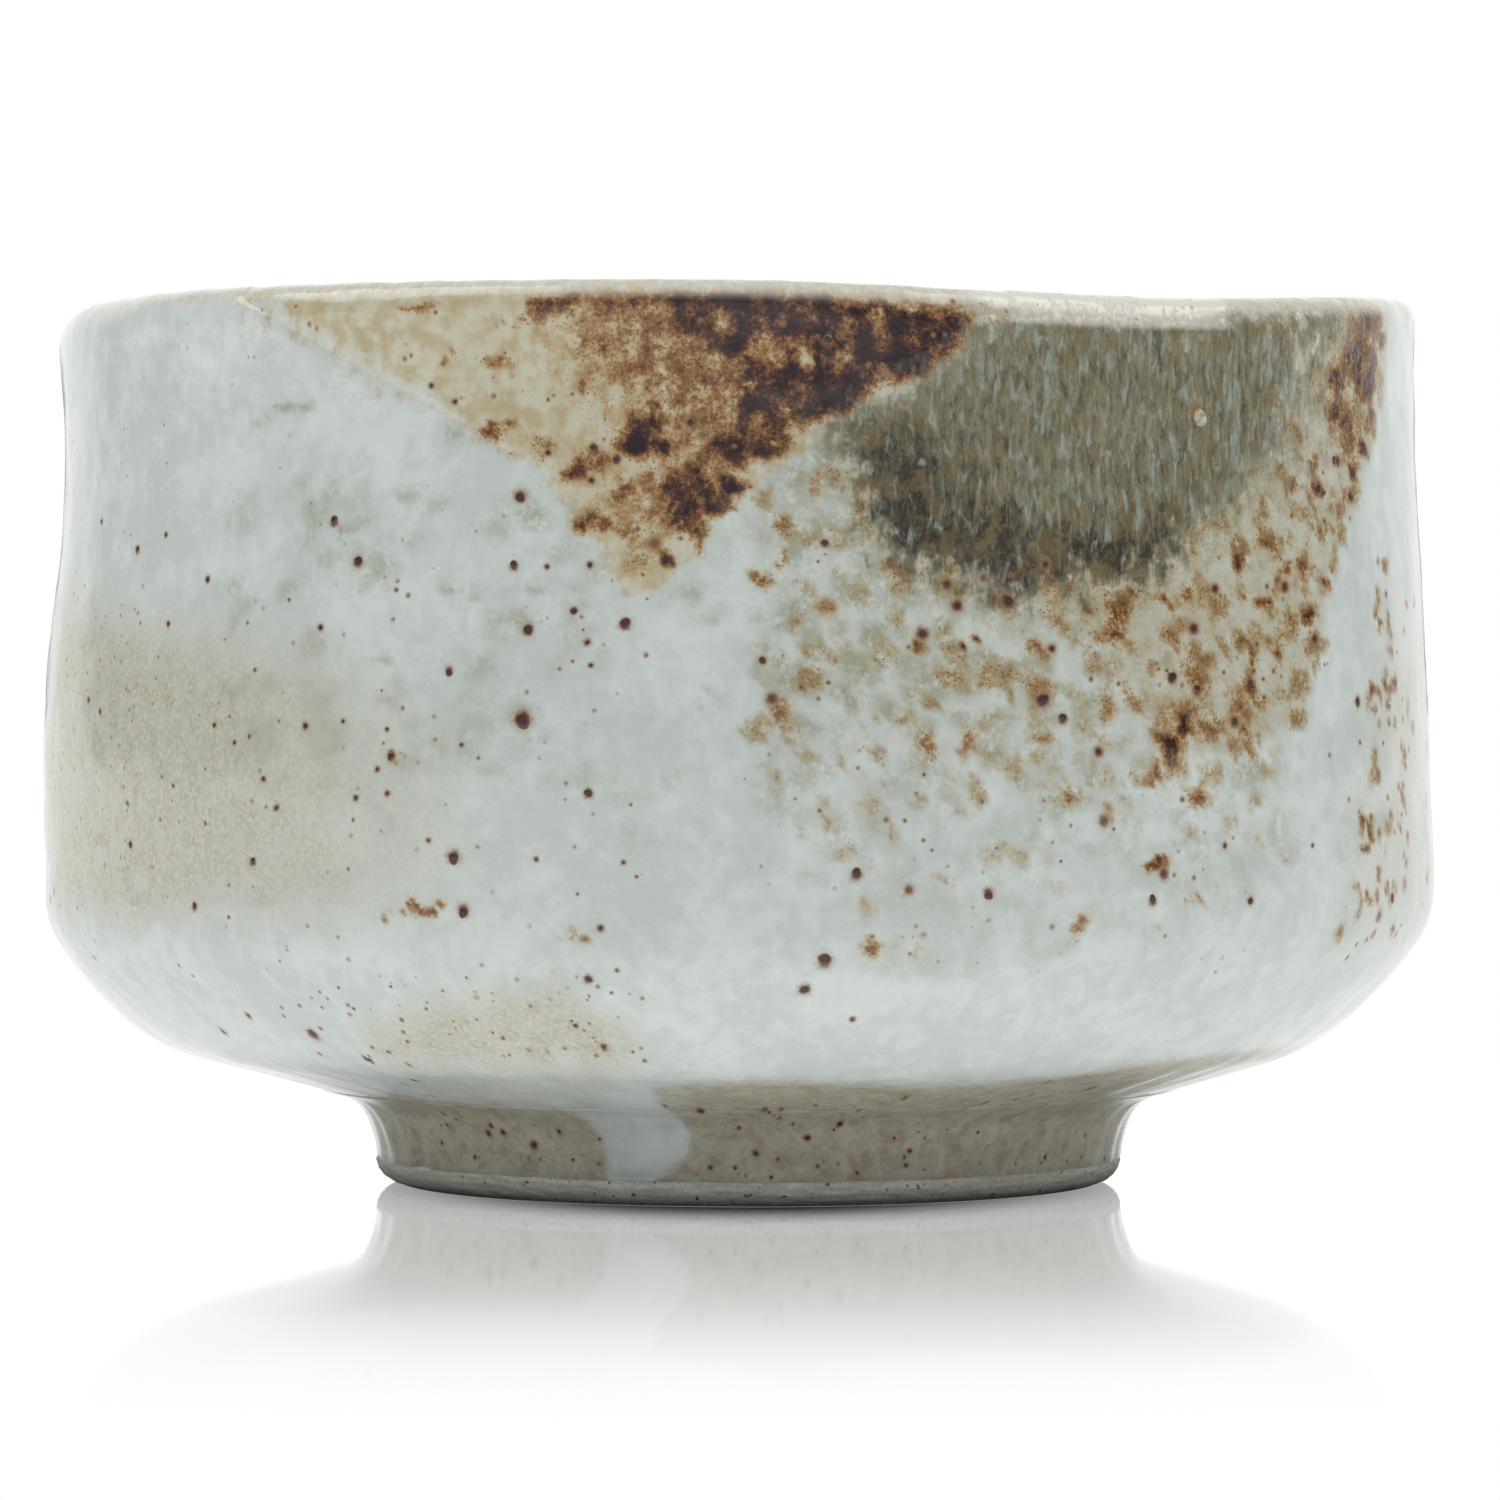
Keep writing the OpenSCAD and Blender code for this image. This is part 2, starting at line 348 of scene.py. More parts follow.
def store(piece, name, kind, domain, values):
    """Keeps a named value on each point or corner of a piece's mesh."""
    layer = piece.data.attributes.new(name, kind, domain)
    layer.data.foreach_set("vector" if kind == "FLOAT_VECTOR" else "value", values.astype(np.float32).ravel())


def grid_faces(rows, count, closed_rows=False, closed_columns=True, offset=0):
    """Quads between the neighbouring points of a grid, which has this many rows of count points."""
    i, j = np.meshgrid(np.arange(rows if closed_rows else rows - 1),
                       np.arange(count if closed_columns else count - 1), indexing="ij")
    below, beside = (i + 1) % rows, (j + 1) % count
    quads = np.stack([i * count + j, below * count + j, below * count + beside, i * count + beside], -1)
    return (quads.reshape(-1, 4) + offset).tolist()


def spread_rows(count, keep):
    """Row numbers from the last back to the first, only so many of them."""
    return np.unique(np.linspace(0, count - 1, keep).round().astype(int))[::-1]


def coat_ring(name, surface, thickness, hidden_rows):
    """A closed coat right round the bowl: the surface, and a coarser copy of it one thickness further in."""
    under = surface.points - surface.normals * thickness
    keep = spread_rows(len(under), hidden_rows)
    points = np.concatenate([surface.points, under[keep]])
    rows, count = points.shape[:2]
    piece = new_object(name, points.reshape(-1, 3), grid_faces(rows, count, closed_rows=True))
    piece_azimuth = np.concatenate([surface.azimuth, surface.azimuth[keep]])
    return piece, piece_azimuth, np.concatenate([surface.pattern, surface.pattern[keep]])


def capped(name, points):
    """A closed solid from rings of points: the first ring closes on a middle point, and so does the last."""
    rows, count = points.shape[:2]
    faces = grid_faces(rows, count)
    first, last = rows * count, rows * count + 1
    for j in range(count):
        k = (j + 1) % count
        faces.append([first, j, k])
        faces.append([last, last - 1 - count + k, last - 1 - count + j])
    middles = np.stack([points[0].mean(0), points[-1].mean(0)])
    return new_object(name, np.concatenate([points.reshape(-1, 3), middles]), faces)


def with_middles(values):
    """A grid's values, and one more for each of the two middle points of a capped solid."""
    return np.concatenate([values.ravel(), [values[0, 0], values[-1, 0]]])


def coat_patch(name, surface, under_lift):
    """A closed patch of coat: the surface, and a copy of it under_lift further in."""
    under = surface.points - surface.normals * under_lift
    rows, count = surface.azimuth.shape
    area = rows * count
    faces = grid_faces(rows, count, closed_columns=False)
    faces += [face[::-1] for face in grid_faces(rows, count, closed_columns=False, offset=area)]
    top, bottom = np.arange(count), np.arange(count) + (rows - 1) * count
    left, right = np.arange(rows) * count, np.arange(rows) * count + count - 1
    loop = np.concatenate([top[:-1], right[:-1], bottom[:0:-1], left[:0:-1]]).tolist()
    for here, there in zip(loop, loop[1:] + loop[:1]):
        faces.append([here, there, there + area, here + area])
    points = np.concatenate([surface.points.reshape(-1, 3), under.reshape(-1, 3)])
    piece = new_object(name, points, faces)
    return piece, np.tile(surface.azimuth.ravel(), 2), np.tile(surface.pattern.ravel(), 2)


# The outside's first rows run over the lip, and from this row on they are on the wall
LIP_ROWS = 30


def domes(name, places, profile):
    """Small closed domes on the outside of the bowl, as one piece.

    places are (azimuth, height, diameter, rise), and profile gives the rise at each share of the radius. The
    share is stored on the points too.
    """
    shares = np.array([0.001, 0.25, 0.45, 0.62, 0.78, 0.9, 1.0, 1.12])
    turn = np.radians(np.arange(0, 360, 15))
    points, faces, stored = [], [], []
    for azimuth, height, diameter, rise in places:
        ring = outside(np.array([azimuth - 0.3, azimuth, azimuth + 0.3]), 0.5)
        row = np.argmin(np.abs(ring.points[LIP_ROWS:, 1, 2] - height)) + LIP_ROWS
        middle, normal = ring.points[row, 1], ring.normals[row, 1]
        side = np.cross((0, 0, 1), normal)
        side /= np.linalg.norm(side)
        up = np.cross(normal, side)
        lumpy = 1 + 0.1 * np.cos(2 * turn + azimuth) + 0.05 * np.cos(3 * turn + height)
        out = shares[:, None] * diameter / 2 * lumpy
        lift = rise * profile(shares)[:, None] - 0.05 * smooth(shares, 0.9, 1.12)[:, None] + 0 * out
        top = (middle + out[..., None] * (np.cos(turn)[:, None] * side + np.sin(turn)[:, None] * up)
               + lift[..., None] * normal)
        rings = np.concatenate([top, top[-1:] - 0.1 * normal, top[:1] - (0.1 + rise) * normal])
        count = len(turn)
        offset = sum(len(p) for p in points)
        faces += grid_faces(len(rings), count, offset=offset)
        faces.append([offset + j for j in range(count)])
        faces.append([offset + (len(rings) - 1) * count + j for j in reversed(range(count))])
        points.append(rings.reshape(-1, 3))
        stored.append(np.repeat(np.concatenate([shares, [1.12, 1.12]]), count))
    piece = new_object(name, np.concatenate(points), faces)
    store(piece, "share", "FLOAT", "POINT", np.concatenate(stored))
    return piece


# ---------------------------------------------------------------- the glaze's pattern, by azimuth and height
def outline_depth(azimuth, height, outline):
    """Signed distance in millimetres from an outline of (azimuth, height) corners: above 0 inside."""
    middle = (min(p[0] for p in outline) + max(p[0] for p in outline)) / 2
    x = half_turn(azimuth - middle) * DEGREE_MM
    corners = [((a - middle) * DEGREE_MM, z) for a, z in outline]
    nearest = np.full(np.shape(x), 1e9)
    inside = np.zeros(np.shape(x), bool)
    for (x0, z0), (x1, z1) in zip(corners, corners[1:] + corners[:1]):
        dx, dz = x1 - x0, z1 - z0
        t = np.clip(((x - x0) * dx + (height - z0) * dz) / (dx * dx + dz * dz + 1e-9), 0, 1)
        nearest = np.minimum(nearest, np.hypot(x - x0 - t * dx, height - z0 - t * dz))
        crosses = (z0 > height) != (z1 > height)
        inside ^= crosses & (x < x0 + (height - z0) * dx / (dz if dz else 1e-9))
    return np.where(inside, nearest, -nearest)


def blot(azimuth, height, place):
    """A soft round blot: place is (azimuth, height, half width, half height, strength, tilt in degrees)."""
    a, z, width, tall, strength, tilt = (tuple(place) + (0,))[:6]
    x = half_turn(azimuth - a) * DEGREE_MM
    y = height - z
    c, s = math.cos(math.radians(tilt)), math.sin(math.radians(tilt))
    d = ((x * c + y * s) / width) ** 2 + ((y * c - x * s) / tall) ** 2
    return strength * np.exp(-0.7 * d ** 1.4)


# The brown triangle under the lip where the base glaze breaks through, and its dark core
TRIANGLE = [(-46, 82), (-43.5, 74.6), (-36, 71), (-31, 68.5), (-25.5, 66), (-22.4, 64.4), (-19.5, 62.4),
            (-15.5, 61),
            (-14.4, 59), (-12.6, 57.2), (-12.6, 54.6), (-10.2, 54.2), (-9.6, 51.6), (-7, 49.6), (-4.6, 52.2),
            (-2.4, 55.2), (0.6, 58.6), (4.6, 61.6), (7, 64), (10, 66.5), (15, 69), (19, 71.4), (28, 72.2),
            (38, 72),
            (48, 72.6), (58, 73.4), (65, 74), (68, 76), (68, 82)]
CORE = [(-6.2, 75), (-4.4, 71.8), (-2.4, 70.2), (-0.6, 69), (0.2, 66.6), (1.6, 64.4), (5, 63.4), (7.6, 64.4),
        (9.4, 66), (12, 67.4), (14.6, 67.6), (17.4, 69.8), (19.4, 72.4), (14, 73.6), (7, 74.2), (0, 75)]
# The ash run, and the rust and olive stipple round and below it
ASH = [(19, 72.4), (18.8, 71), (16.4, 68.6), (13, 66.6), (9.4, 65), (7.6, 62.4), (9.4, 59.4), (10.2, 56),
       (11.4, 53.6), (15, 52), (19, 51.2), (22.5, 49.9), (26, 51.2), (31, 50.9), (35, 52.2), (38, 55),
       (43, 57.6),
       (45, 60.4), (49, 61.6), (51, 66), (53.5, 70), (57, 72.6), (60, 74), (50, 73.4), (40, 72.9), (30, 73)]
STIPPLE = [(24, 54), (24, 48), (29, 46), (33, 40), (34, 34.5), (37, 37), (42, 37.5), (46, 39), (51.4, 40.2),
           (52, 44), (54, 46), (55, 50), (57, 54), (58.6, 56), (61, 58), (62.4, 60), (65, 62.4), (68, 66.4),
           (69.5, 73), (66, 80), (50, 80), (44, 60)]
DAPPLE = [(1, 59), (3, 50), (1, 42), (3, 34), (7, 24), (12, 20.5), (27, 22), (36, 24.6), (46, 25.6), (50, 31),
          (48, 40), (36, 46), (22, 54), (10, 60)]
SIDE_PATCH = [(55, 21), (60, 21), (78, 22), (104, 26), (112, 34), (104, 50), (88, 58), (72, 50), (64, 48),
              (60.5, 40), (56, 30)]
SIDE_EDGE = [(57, 22), (69, 22), (71, 38), (68, 54), (64.5, 54), (61, 41)]
BUFF_WASH = [(-118, 30), (-92, 23.4), (-68, 22.6), (-52, 22.4), (-46, 24), (-36, 23), (-26, 23.6), (-17, 27),
             (-20, 38), (-30, 46), (-52, 49), (-72, 52), (-100, 50), (-118, 44)]
LEFT_OF_FRONT = [(-44, 60), (-10, 58), (-8, 30), (-44, 34)]
BUFF_HIP = [(-34, 12.4), (-10, 12.4), (-9, 16), (-15, 19.4), (-26, 17.4), (-34, 15)]
# Behind, the same pours meet again
BACK_TRIANGLE = [(148, 84), (150, 74), (158, 66), (165, 60), (170, 55), (176, 60), (186, 66),
                 (196, 72), (200, 84)]
BACK_CORE = [(170, 75), (168, 70), (174, 66), (184, 69), (194, 74)]
BACK_ASH = [(196, 82), (190, 70), (188, 62), (194, 57), (206, 55), (218, 58), (226, 66), (232, 74), (234, 82)]
BACK_STIPPLE = [(178, 64), (184, 52), (192, 44), (200, 40), (212, 42), (224, 50), (234, 60), (240, 72),
                (230, 78),
                (205, 60)]
BACK_DAPPLE = [(160, 54), (168, 40), (176, 27), (196, 24), (216, 27), (226, 42), (214, 52), (190, 60)]
# How high the foot's own buff glaze reaches round the bowl, and the tongue of white that runs down over it
BUFF_TOP = [(-120, 11.5), (-90, 11), (-60, 9.8), (-50, 8.8), (-35, 8.4), (-25, 8.0), (-15, 9.6), (-7, 11.2),
            (2, 11.5), (10, 11.2), (20, 10.7), (30, 10.9), (42, 12.4), (60, 12.8), (90, 12), (150, 11),
            (180, 11.8)]
TONGUE = [(-30, 13), (-28, 9.8), (-25.5, 8.6), (-22.6, 7.4), (-21.4, 5.6), (-21, 2), (-21, -9), (-14, -9),
          (-14, 2.2),
          (-10.6, 3.4), (-8.6, 4.6), (-8.2, 6), (-9.2, 7.4), (-10.8, 9), (-9.4, 10.4), (-6, 13)]

# Blots of iron in the triangle: (azimuth, height, half width, half height, strength, tilt)
TRIANGLE_BLOTS = [
    (-7.4, 63, 1.7, 1.9, 0.86), (-7.6, 62.3, 1.0, 0.9, 1.0), (-5.6, 62.2, 0.8, 0.8, 0.85),
    (-6.2, 64.4, 1.2, 0.9, 0.7), (-3.6, 59, 1.6, 1.6, 0.9), (-2, 58.2, 1.5, 1.3, 0.86),
    (-4.4, 56.9, 0.9, 1.5, 0.86), (-0.2, 59.4, 0.9, 0.8, 1.0), (-3, 56.2, 1.3, 0.9, 0.72),
    (-1, 57.2, 0.9, 0.6, 0.8), (-11.8, 55.8, 0.9, 0.9, 0.85), (-10.4, 56.6, 1.4, 1.1, 0.66),
    (-8.4, 55.6, 1.0, 0.6, 0.6), (-8.6, 58.8, 1.0, 0.9, 0.7), (-12.4, 60.2, 1.4, 0.8, 0.66),
    (-10.6, 61, 1.3, 0.7, 0.6), (-7, 59.9, 1.2, 0.6, 0.55), (-11.2, 69.9, 1.5, 1.0, 0.62),
    (-8.4, 70.1, 1.4, 0.6, 0.58), (-12, 67, 1.0, 1.1, 0.58), (-9.4, 73, 1.6, 1.2, 0.6),
    (-14.4, 73.2, 2.6, 0.8, 0.72, 16), (-13, 74.1, 1.2, 0.6, 0.58), (-18, 72, 1.2, 0.3, 0.6),
    (-19, 69, 1.8, 0.45, 0.5, 6), (-26, 73.4, 2.2, 0.3, 0.5, 8), (-19.4, 63.2, 1.1, 0.7, 0.82),
    (-17.8, 63.8, 0.9, 0.5, 0.58), (-15.2, 62.4, 0.9, 0.8, 0.56), (-1.4, 67.2, 0.9, 0.7, 0.66),
    (-3.2, 64.2, 0.45, 0.45, 0.8), (-2.4, 63.1, 0.4, 0.4, 0.8), (-1, 62, 1.3, 0.9, 0.82),
    (0.6, 61.6, 1.2, 1.0, 0.92), (-2.4, 61.4, 1.0, 0.7, 0.66), (2.6, 62.4, 1.6, 1.1, 0.84),
    (3.2, 64.2, 1.7, 1.0, 0.86), (1.2, 65.4, 1.2, 0.9, 1.0), (0.4, 63.8, 0.8, 1.1, 0.85),
    (-4.2, 60.9, 1.2, 0.5, 0.5), (-5.4, 67.8, 1.0, 0.4, 0.5), (-5.2, 52.9, 0.6, 0.6, 0.9),
    (-6.2, 54.5, 0.5, 0.4, 0.8), (-3, 54.6, 0.9, 0.7, 0.5), (-23, 68.8, 0.9, 0.4, 0.5),
    (5, 75, 4.0, 0.5, 0.5), (10.8, 74.4, 0.4, 0.8, 1.0), (12, 73.4, 0.35, 0.8, 0.9),
]
CORE_BLOTS = [
    (-4.4, 73.4, 1.3, 0.9, 1.1), (-3, 71.8, 0.9, 0.9, 1.05), (-1.4, 70.4, 0.9, 0.8, 1.05),
    (3, 72, 2.0, 0.8, 1.12), (7.2, 71, 1.5, 1.4, 1.22), (6.6, 67.6, 1.1, 1.8, 1.2),
    (7.4, 65.8, 1.7, 1.3, 1.25), (10, 69, 1.4, 1.2, 1.15), (13, 69.4, 1.7, 1.0, 1.15),
    (14.2, 68.4, 0.9, 0.8, 1.2), (15.6, 71, 1.9, 0.6, 1.1), (9, 72.6, 1.2, 0.7, 1.1),
    (2, 65.5, 1.2, 0.8, 1.2), (1, 67, 0.8, 0.7, 1.05), (3.6, 68, 0.5, 0.5, 1.05),
    (12.6, 71.6, 1.2, 0.7, 1.05), (5, 65, 1.2, 0.7, 1.1), (9, 67.4, 1.0, 0.8, 1.2),
    (17.6, 71.4, 1.0, 0.5, 1.0), (0.6, 72.6, 1.5, 0.8, 0.95),
]
CORE_GAPS = [
    (2.6, 69.6, 1.3, 0.9, 0.5), (5.2, 68.8, 0.7, 0.8, 0.7), (8.4, 69.4, 0.5, 0.6, 0.45),
    (11, 72, 0.4, 0.8, 0.5), (-1, 72.4, 1.0, 0.6, 0.35), (8.6, 71.8, 0.35, 0.5, 0.4),
    (4.4, 70.4, 0.6, 0.5, 0.4), (12, 68.2, 0.6, 0.5, 0.35),
]
# Blots below the ash and in the dappled white
DAPPLE_BLOTS = [
    (3.4, 53.2, 0.5, 0.8, 1.15), (2.2, 51.8, 0.9, 0.7, 0.78), (3.6, 55.6, 0.6, 0.8, 0.6),
    (6.4, 59, 0.6, 1.2, 0.5), (9.4, 57.2, 0.6, 1.3, 0.6), (8, 60, 0.9, 1.0, 0.5), (6.8, 49.4, 1.1, 1.0, 0.46),
    (6.8, 45.4, 0.8, 0.8, 0.46), (2.8, 42.3, 0.4, 0.5, 0.95), (3.3, 41.1, 1.2, 1.1, 0.62),
    (14.3, 38.8, 0.9, 1.1, 0.68), (18, 39, 0.9, 0.9, 0.55), (13.2, 27.2, 0.4, 0.3, 0.86),
    (10.9, 22.5, 1.2, 0.75, 0.66), (27, 24.1, 0.8, 0.6, 0.66, 30), (26.3, 34.5, 0.7, 0.9, 0.62),
    (29.5, 33.4, 0.5, 0.9, 0.6), (29.3, 32.5, 0.4, 0.5, 0.9), (28.9, 38, 0.35, 0.4, 1.0),
    (29.4, 38.8, 0.8, 0.7, 0.5), (33.6, 36.3, 0.5, 0.9, 0.86), (16, 44.2, 0.9, 0.7, 0.62),
    (19.5, 44, 1.0, 1.0, 0.55), (18, 47, 0.85, 0.28, 1.0, 12), (14.4, 47.4, 0.5, 0.4, 1.05),
    (14.3, 46.3, 0.8, 0.7, 0.74), (16.4, 51.3, 0.4, 0.4, 1.0), (17.2, 49.6, 0.45, 0.4, 1.1),
    (21.2, 50.3, 0.7, 0.35, 1.25), (21.5, 49.8, 0.35, 0.5, 1.2), (19.4, 51.8, 0.4, 0.3, 0.9),
    (23.6, 43, 1.3, 1.2, 0.56), (24, 39.6, 1.2, 0.45, 0.52), (29.4, 41.5, 1.0, 1.0, 0.46),
    (32, 42, 1.1, 1.1, 0.5), (25, 46.2, 0.4, 0.25, 1.0), (23.6, 46, 1.0, 0.6, 0.6),
    (18.2, 54.8, 0.7, 0.5, 0.9), (12.4, 52.6, 1.4, 0.8, 0.6), (34.3, 28.8, 0.8, 0.6, 0.92),
    (34.8, 28.2, 0.5, 0.35, 0.98), (38, 25.5, 0.8, 0.4, 0.52),
]
STIPPLE_BLOTS = [
    (31.5, 50.5, 1.7, 0.5, 0.84), (31.2, 49.2, 1.8, 0.9, 0.8), (35, 49.6, 1.6, 0.5, 0.76),
    (30.4, 48, 0.9, 0.6, 0.76), (38.3, 47.8, 0.45, 0.5, 1.0), (40.7, 51, 0.5, 0.3, 1.0),
    (37.5, 50.6, 1.0, 0.4, 0.7), (43.5, 53, 0.7, 1.4, 0.8), (46.2, 50, 1.1, 0.5, 0.94),
    (48.9, 51.2, 0.5, 0.5, 1.0), (48.8, 52.3, 0.8, 1.0, 0.74), (51.5, 52.5, 1.4, 1.1, 0.68),
    (54.5, 51.3, 0.9, 0.6, 0.82), (51.8, 48.8, 1.1, 1.1, 0.92), (52.7, 47, 0.5, 0.35, 1.0),
    (47.6, 46.3, 1.1, 0.45, 0.72), (44, 42.8, 1.0, 1.0, 0.78), (44.6, 45, 0.7, 1.1, 0.66),
    (42.3, 40.3, 0.45, 0.5, 1.0), (43.4, 39.5, 0.9, 0.8, 0.66), (44, 38, 1.0, 0.5, 0.7),
    (36.7, 39.4, 0.9, 0.7, 0.92), (35.4, 38.2, 1.2, 1.3, 0.95), (36.4, 40.8, 0.9, 0.9, 0.7),
    (38.3, 34, 1.0, 0.9, 0.74), (57.6, 61.6, 0.4, 0.5, 1.15), (54.2, 59.2, 0.9, 0.5, 1.2),
    (59.4, 58.8, 1.0, 0.7, 0.9), (57.4, 55, 1.0, 0.5, 0.6), (60.6, 60.8, 1.0, 0.8, 0.86),
    (62.6, 62.2, 1.2, 0.8, 0.9), (64.6, 64.6, 1.4, 0.9, 0.86), (63, 67.6, 2.0, 1.4, 0.8),
    (65.4, 69.6, 1.2, 1.6, 0.86), (60, 70, 1.8, 1.6, 0.66), (57.4, 68, 1.4, 1.0, 0.8),
    (58.4, 65.2, 1.4, 0.7, 0.86), (67, 72, 1.0, 1.4, 0.9), (50.6, 59.6, 1.4, 0.6, 0.7),
    (53.4, 61.6, 1.0, 0.8, 0.66), (46.4, 71.6, 0.9, 0.7, 0.85), (47, 54.6, 1.4, 0.6, 0.7),
    (58, 67, 2.4, 4.4, 0.62), (62, 70.6, 2.4, 3.2, 0.84), (60.6, 64, 2.0, 2.6, 0.66),
    (65, 73.6, 2.2, 2.4, 0.8), (64.6, 68.4, 0.9, 3.0, 0.9),
]
# Rust smears in the white to the left: (azimuth, height, half length, half width, strength, tilt)
SMEARS = [
    (-24.6, 25.8, 1.8, 0.45, 0.8, 22), (-27.4, 24.9, 0.7, 0.4, 0.75, 20), (-12.4, 23.5, 0.9, 0.5, 0.7, 25),
    (-26.4, 38, 1.0, 0.6, 0.45, 30), (-11, 24.1, 0.7, 0.3, 0.5, 10),
]
# Faint grey green brush marks there
BRUSH_MARKS = [
    (-38.6, 65.4, 3.6, 0.35, 0.8, 13), (-31.2, 55.8, 1.6, 0.4, 0.9, 25), (-32.4, 55.2, 0.8, 0.4, 0.8, 10),
    (-12.6, 56.6, 0.9, 1.1, 0.5), (-16, 57, 1.3, 1.0, 0.7), (-22.6, 63.4, 1.1, 0.8, 0.7),
    (-3.4, 50.8, 1.4, 0.6, 0.6, 10), (-2.2, 48.6, 1.2, 0.6, 0.5, 10), (-15.6, 50.8, 1.2, 0.4, 0.5, 12),
    (-21.6, 51, 1.4, 0.4, 0.6, 8), (-17, 48.4, 1.0, 0.4, 0.6, 10), (-20, 44.6, 1.0, 0.4, 0.5, 20),
    (-7.4, 30.6, 1.4, 0.6, 0.55, 28), (-5, 36, 1.4, 0.5, 0.45, 28), (-2, 42, 1.8, 0.4, 0.4, 15),
    (14.4, 36.6, 1.5, 1.2, 0.6), (10, 33, 1.6, 1.2, 0.5), (12.6, 62, 1.4, 1.0, 0.6), (5.4, 60, 1.3, 1.6, 0.5),
    (1.6, 55.4, 0.9, 1.2, 0.4),
]
# Dark iron spots: (azimuth, height, diameter)
SPOTS = [
    (-16.3, 40.7, 1.45), (-16, 47.7, 1.0), (-8.4, 48.2, 1.0), (-30.8, 53.1, 1.0), (-33.4, 56.3, 0.75),
    (-16.9, 58.3, 1.0), (-11.3, 46.7, 0.6), (-22.4, 44.5, 0.7), (-34.2, 47.9, 0.6), (-17.3, 52.7, 0.7),
    (-11.1, 34.8, 0.8), (-21.9, 29.7, 1.1), (-21.1, 25.5, 1.0), (-27.2, 37.8, 0.75), (-27.5, 34.7, 0.6),
    (-30.3, 34.3, 0.6), (-35.2, 40, 0.65), (-39.4, 35.7, 0.55), (-38, 33.4, 0.65), (-40.6, 29, 0.7),
    (-47.4, 25.2, 0.75), (-56.5, 30.1, 0.75), (-56.8, 33.4, 0.6), (-65.4, 56.7, 0.6), (-57.7, 54.3, 0.75),
    (-53.3, 55.5, 0.5), (-47, 51.8, 0.65), (-51.8, 48.2, 0.6), (-64.7, 41.9, 0.6), (-62.1, 40.9, 0.6),
    (-10.2, 24.2, 0.6), (-11.5, 20.1, 0.75), (-11.4, 14.4, 0.65), (6.9, 21.6, 1.15), (5.5, 19.3, 0.95),
    (9.2, 28.4, 0.95), (19.5, 26.9, 0.8), (24.1, 42.1, 1.3), (25.8, 40.6, 0.85), (35.9, 43.9, 1.1),
    (38.4, 42.8, 0.85), (59.2, 41.8, 1.0), (65.5, 25.4, 0.9), (33.7, 26, 0.85), (43.9, 25.8, 0.75),
    (41.1, 30.3, 0.6), (6.9, 54.5, 0.7), (2.1, 45.3, 0.7), (9.7, 16.8, 0.5), (21.4, 49.9, 1.2),
    (-14.6, 52.7, 0.5), (-11.2, 52.8, 0.6), (-12.4, 49.2, 0.7), (-14.7, 61.7, 0.6), (-11, 62.1, 0.7),
    (-9.2, 61.2, 0.7), (-11.2, 59.5, 0.6), (-22.5, 65.8, 0.55), (-24.6, 67.1, 0.55), (7.2, 70.4, 0.9),
    (-3.4, 64.1, 0.7), (24.6, 52.9, 0.8), (57, 61.6, 0.9), (54.2, 59.3, 1.2), (-52.6, 14.6, 0.6),
    (-40, 14.8, 1.0), (-46.6, 16.2, 0.6), (-36, 12.9, 0.7), (-13.4, 16.2, 0.5), (51.6, 30.1, 0.45),
    (-11, 44.9, 0.5), (-27.6, 39.8, 0.45), (-28.4, 36.6, 0.5), (-21.2, 38.6, 0.4), (-42.6, 38.6, 0.45),
    (-45, 40, 0.5), (-24, 31, 0.5), (-8.4, 29.4, 0.45), (-15.2, 29.6, 0.5), (-31.6, 40.4, 0.4),
    (-46, 32, 0.45), (-50, 35, 0.45),
]
FOOT_SPOTS = [
    (-40.9, 5.7, 0.7), (-37.9, 5.9, 0.7), (-39.8, 6.4, 0.5), (-32.9, 4.9, 0.9), (-52, 4.6, 0.5),
    (-45, 3.6, 0.5), (1, 4.6, 0.65), (8.3, 5.9, 0.7), (12.6, 7.1, 0.7), (2, 8.6, 0.6), (4, 8.6, 0.5),
    (-6, 8.4, 0.7), (-5.6, 3.4, 0.5), (24, 4.6, 0.5), (23.6, 3.4, 0.5), (50, 3.4, 0.6), (60, 5, 0.5),
    (-28, 6.2, 0.5), (18, 9.6, 0.5), (30, 8.8, 0.5), (42, 9.8, 0.6), (16, 2.9, 0.4), (-22, 7, 0.4),
]


def scattered_blots(outline, count, seed, size, strength, stretch=1.0, tilt=0.0):
    """Random blots inside an outline."""
    draw = np.random.default_rng(seed)
    corners = np.array(outline, float)
    low, high = corners.min(0), corners.max(0)
    made = []
    while len(made) < count:
        a, z = draw.uniform(low, high)
        if outline_depth(np.array(a), np.array(z), outline) < 0:
            continue
        width = draw.uniform(*size)
        tall = width * draw.uniform(0.7, 1.2)
        made.append((a, z, width * stretch, tall, draw.uniform(*strength), tilt))
    return made


def cell_blots(outline, spacing, seed, size, strength):
    """Roundish blots on a loose honeycomb inside an outline, as glaze beads up in cells."""
    draw = np.random.default_rng(seed)
    corners = np.array(outline, float)
    (low_a, low_z), (high_a, high_z) = corners.min(0), corners.max(0)
    made = []
    for row, z in enumerate(np.arange(low_z, high_z, 0.87 * spacing)):
        for a in np.arange(low_a + (row % 2) * spacing / 2 / DEGREE_MM, high_a, spacing / DEGREE_MM):
            a_here = a + draw.normal(0, 0.26) * spacing
            z_here = z + draw.normal(0, 0.26) * spacing
            width = draw.uniform(*size)
            cell = (a_here, z_here, width, width * draw.uniform(0.75, 1.15), draw.uniform(*strength))
            if outline_depth(np.array(a_here), np.array(z_here), outline) > 0:
                made.append(cell)
    return made


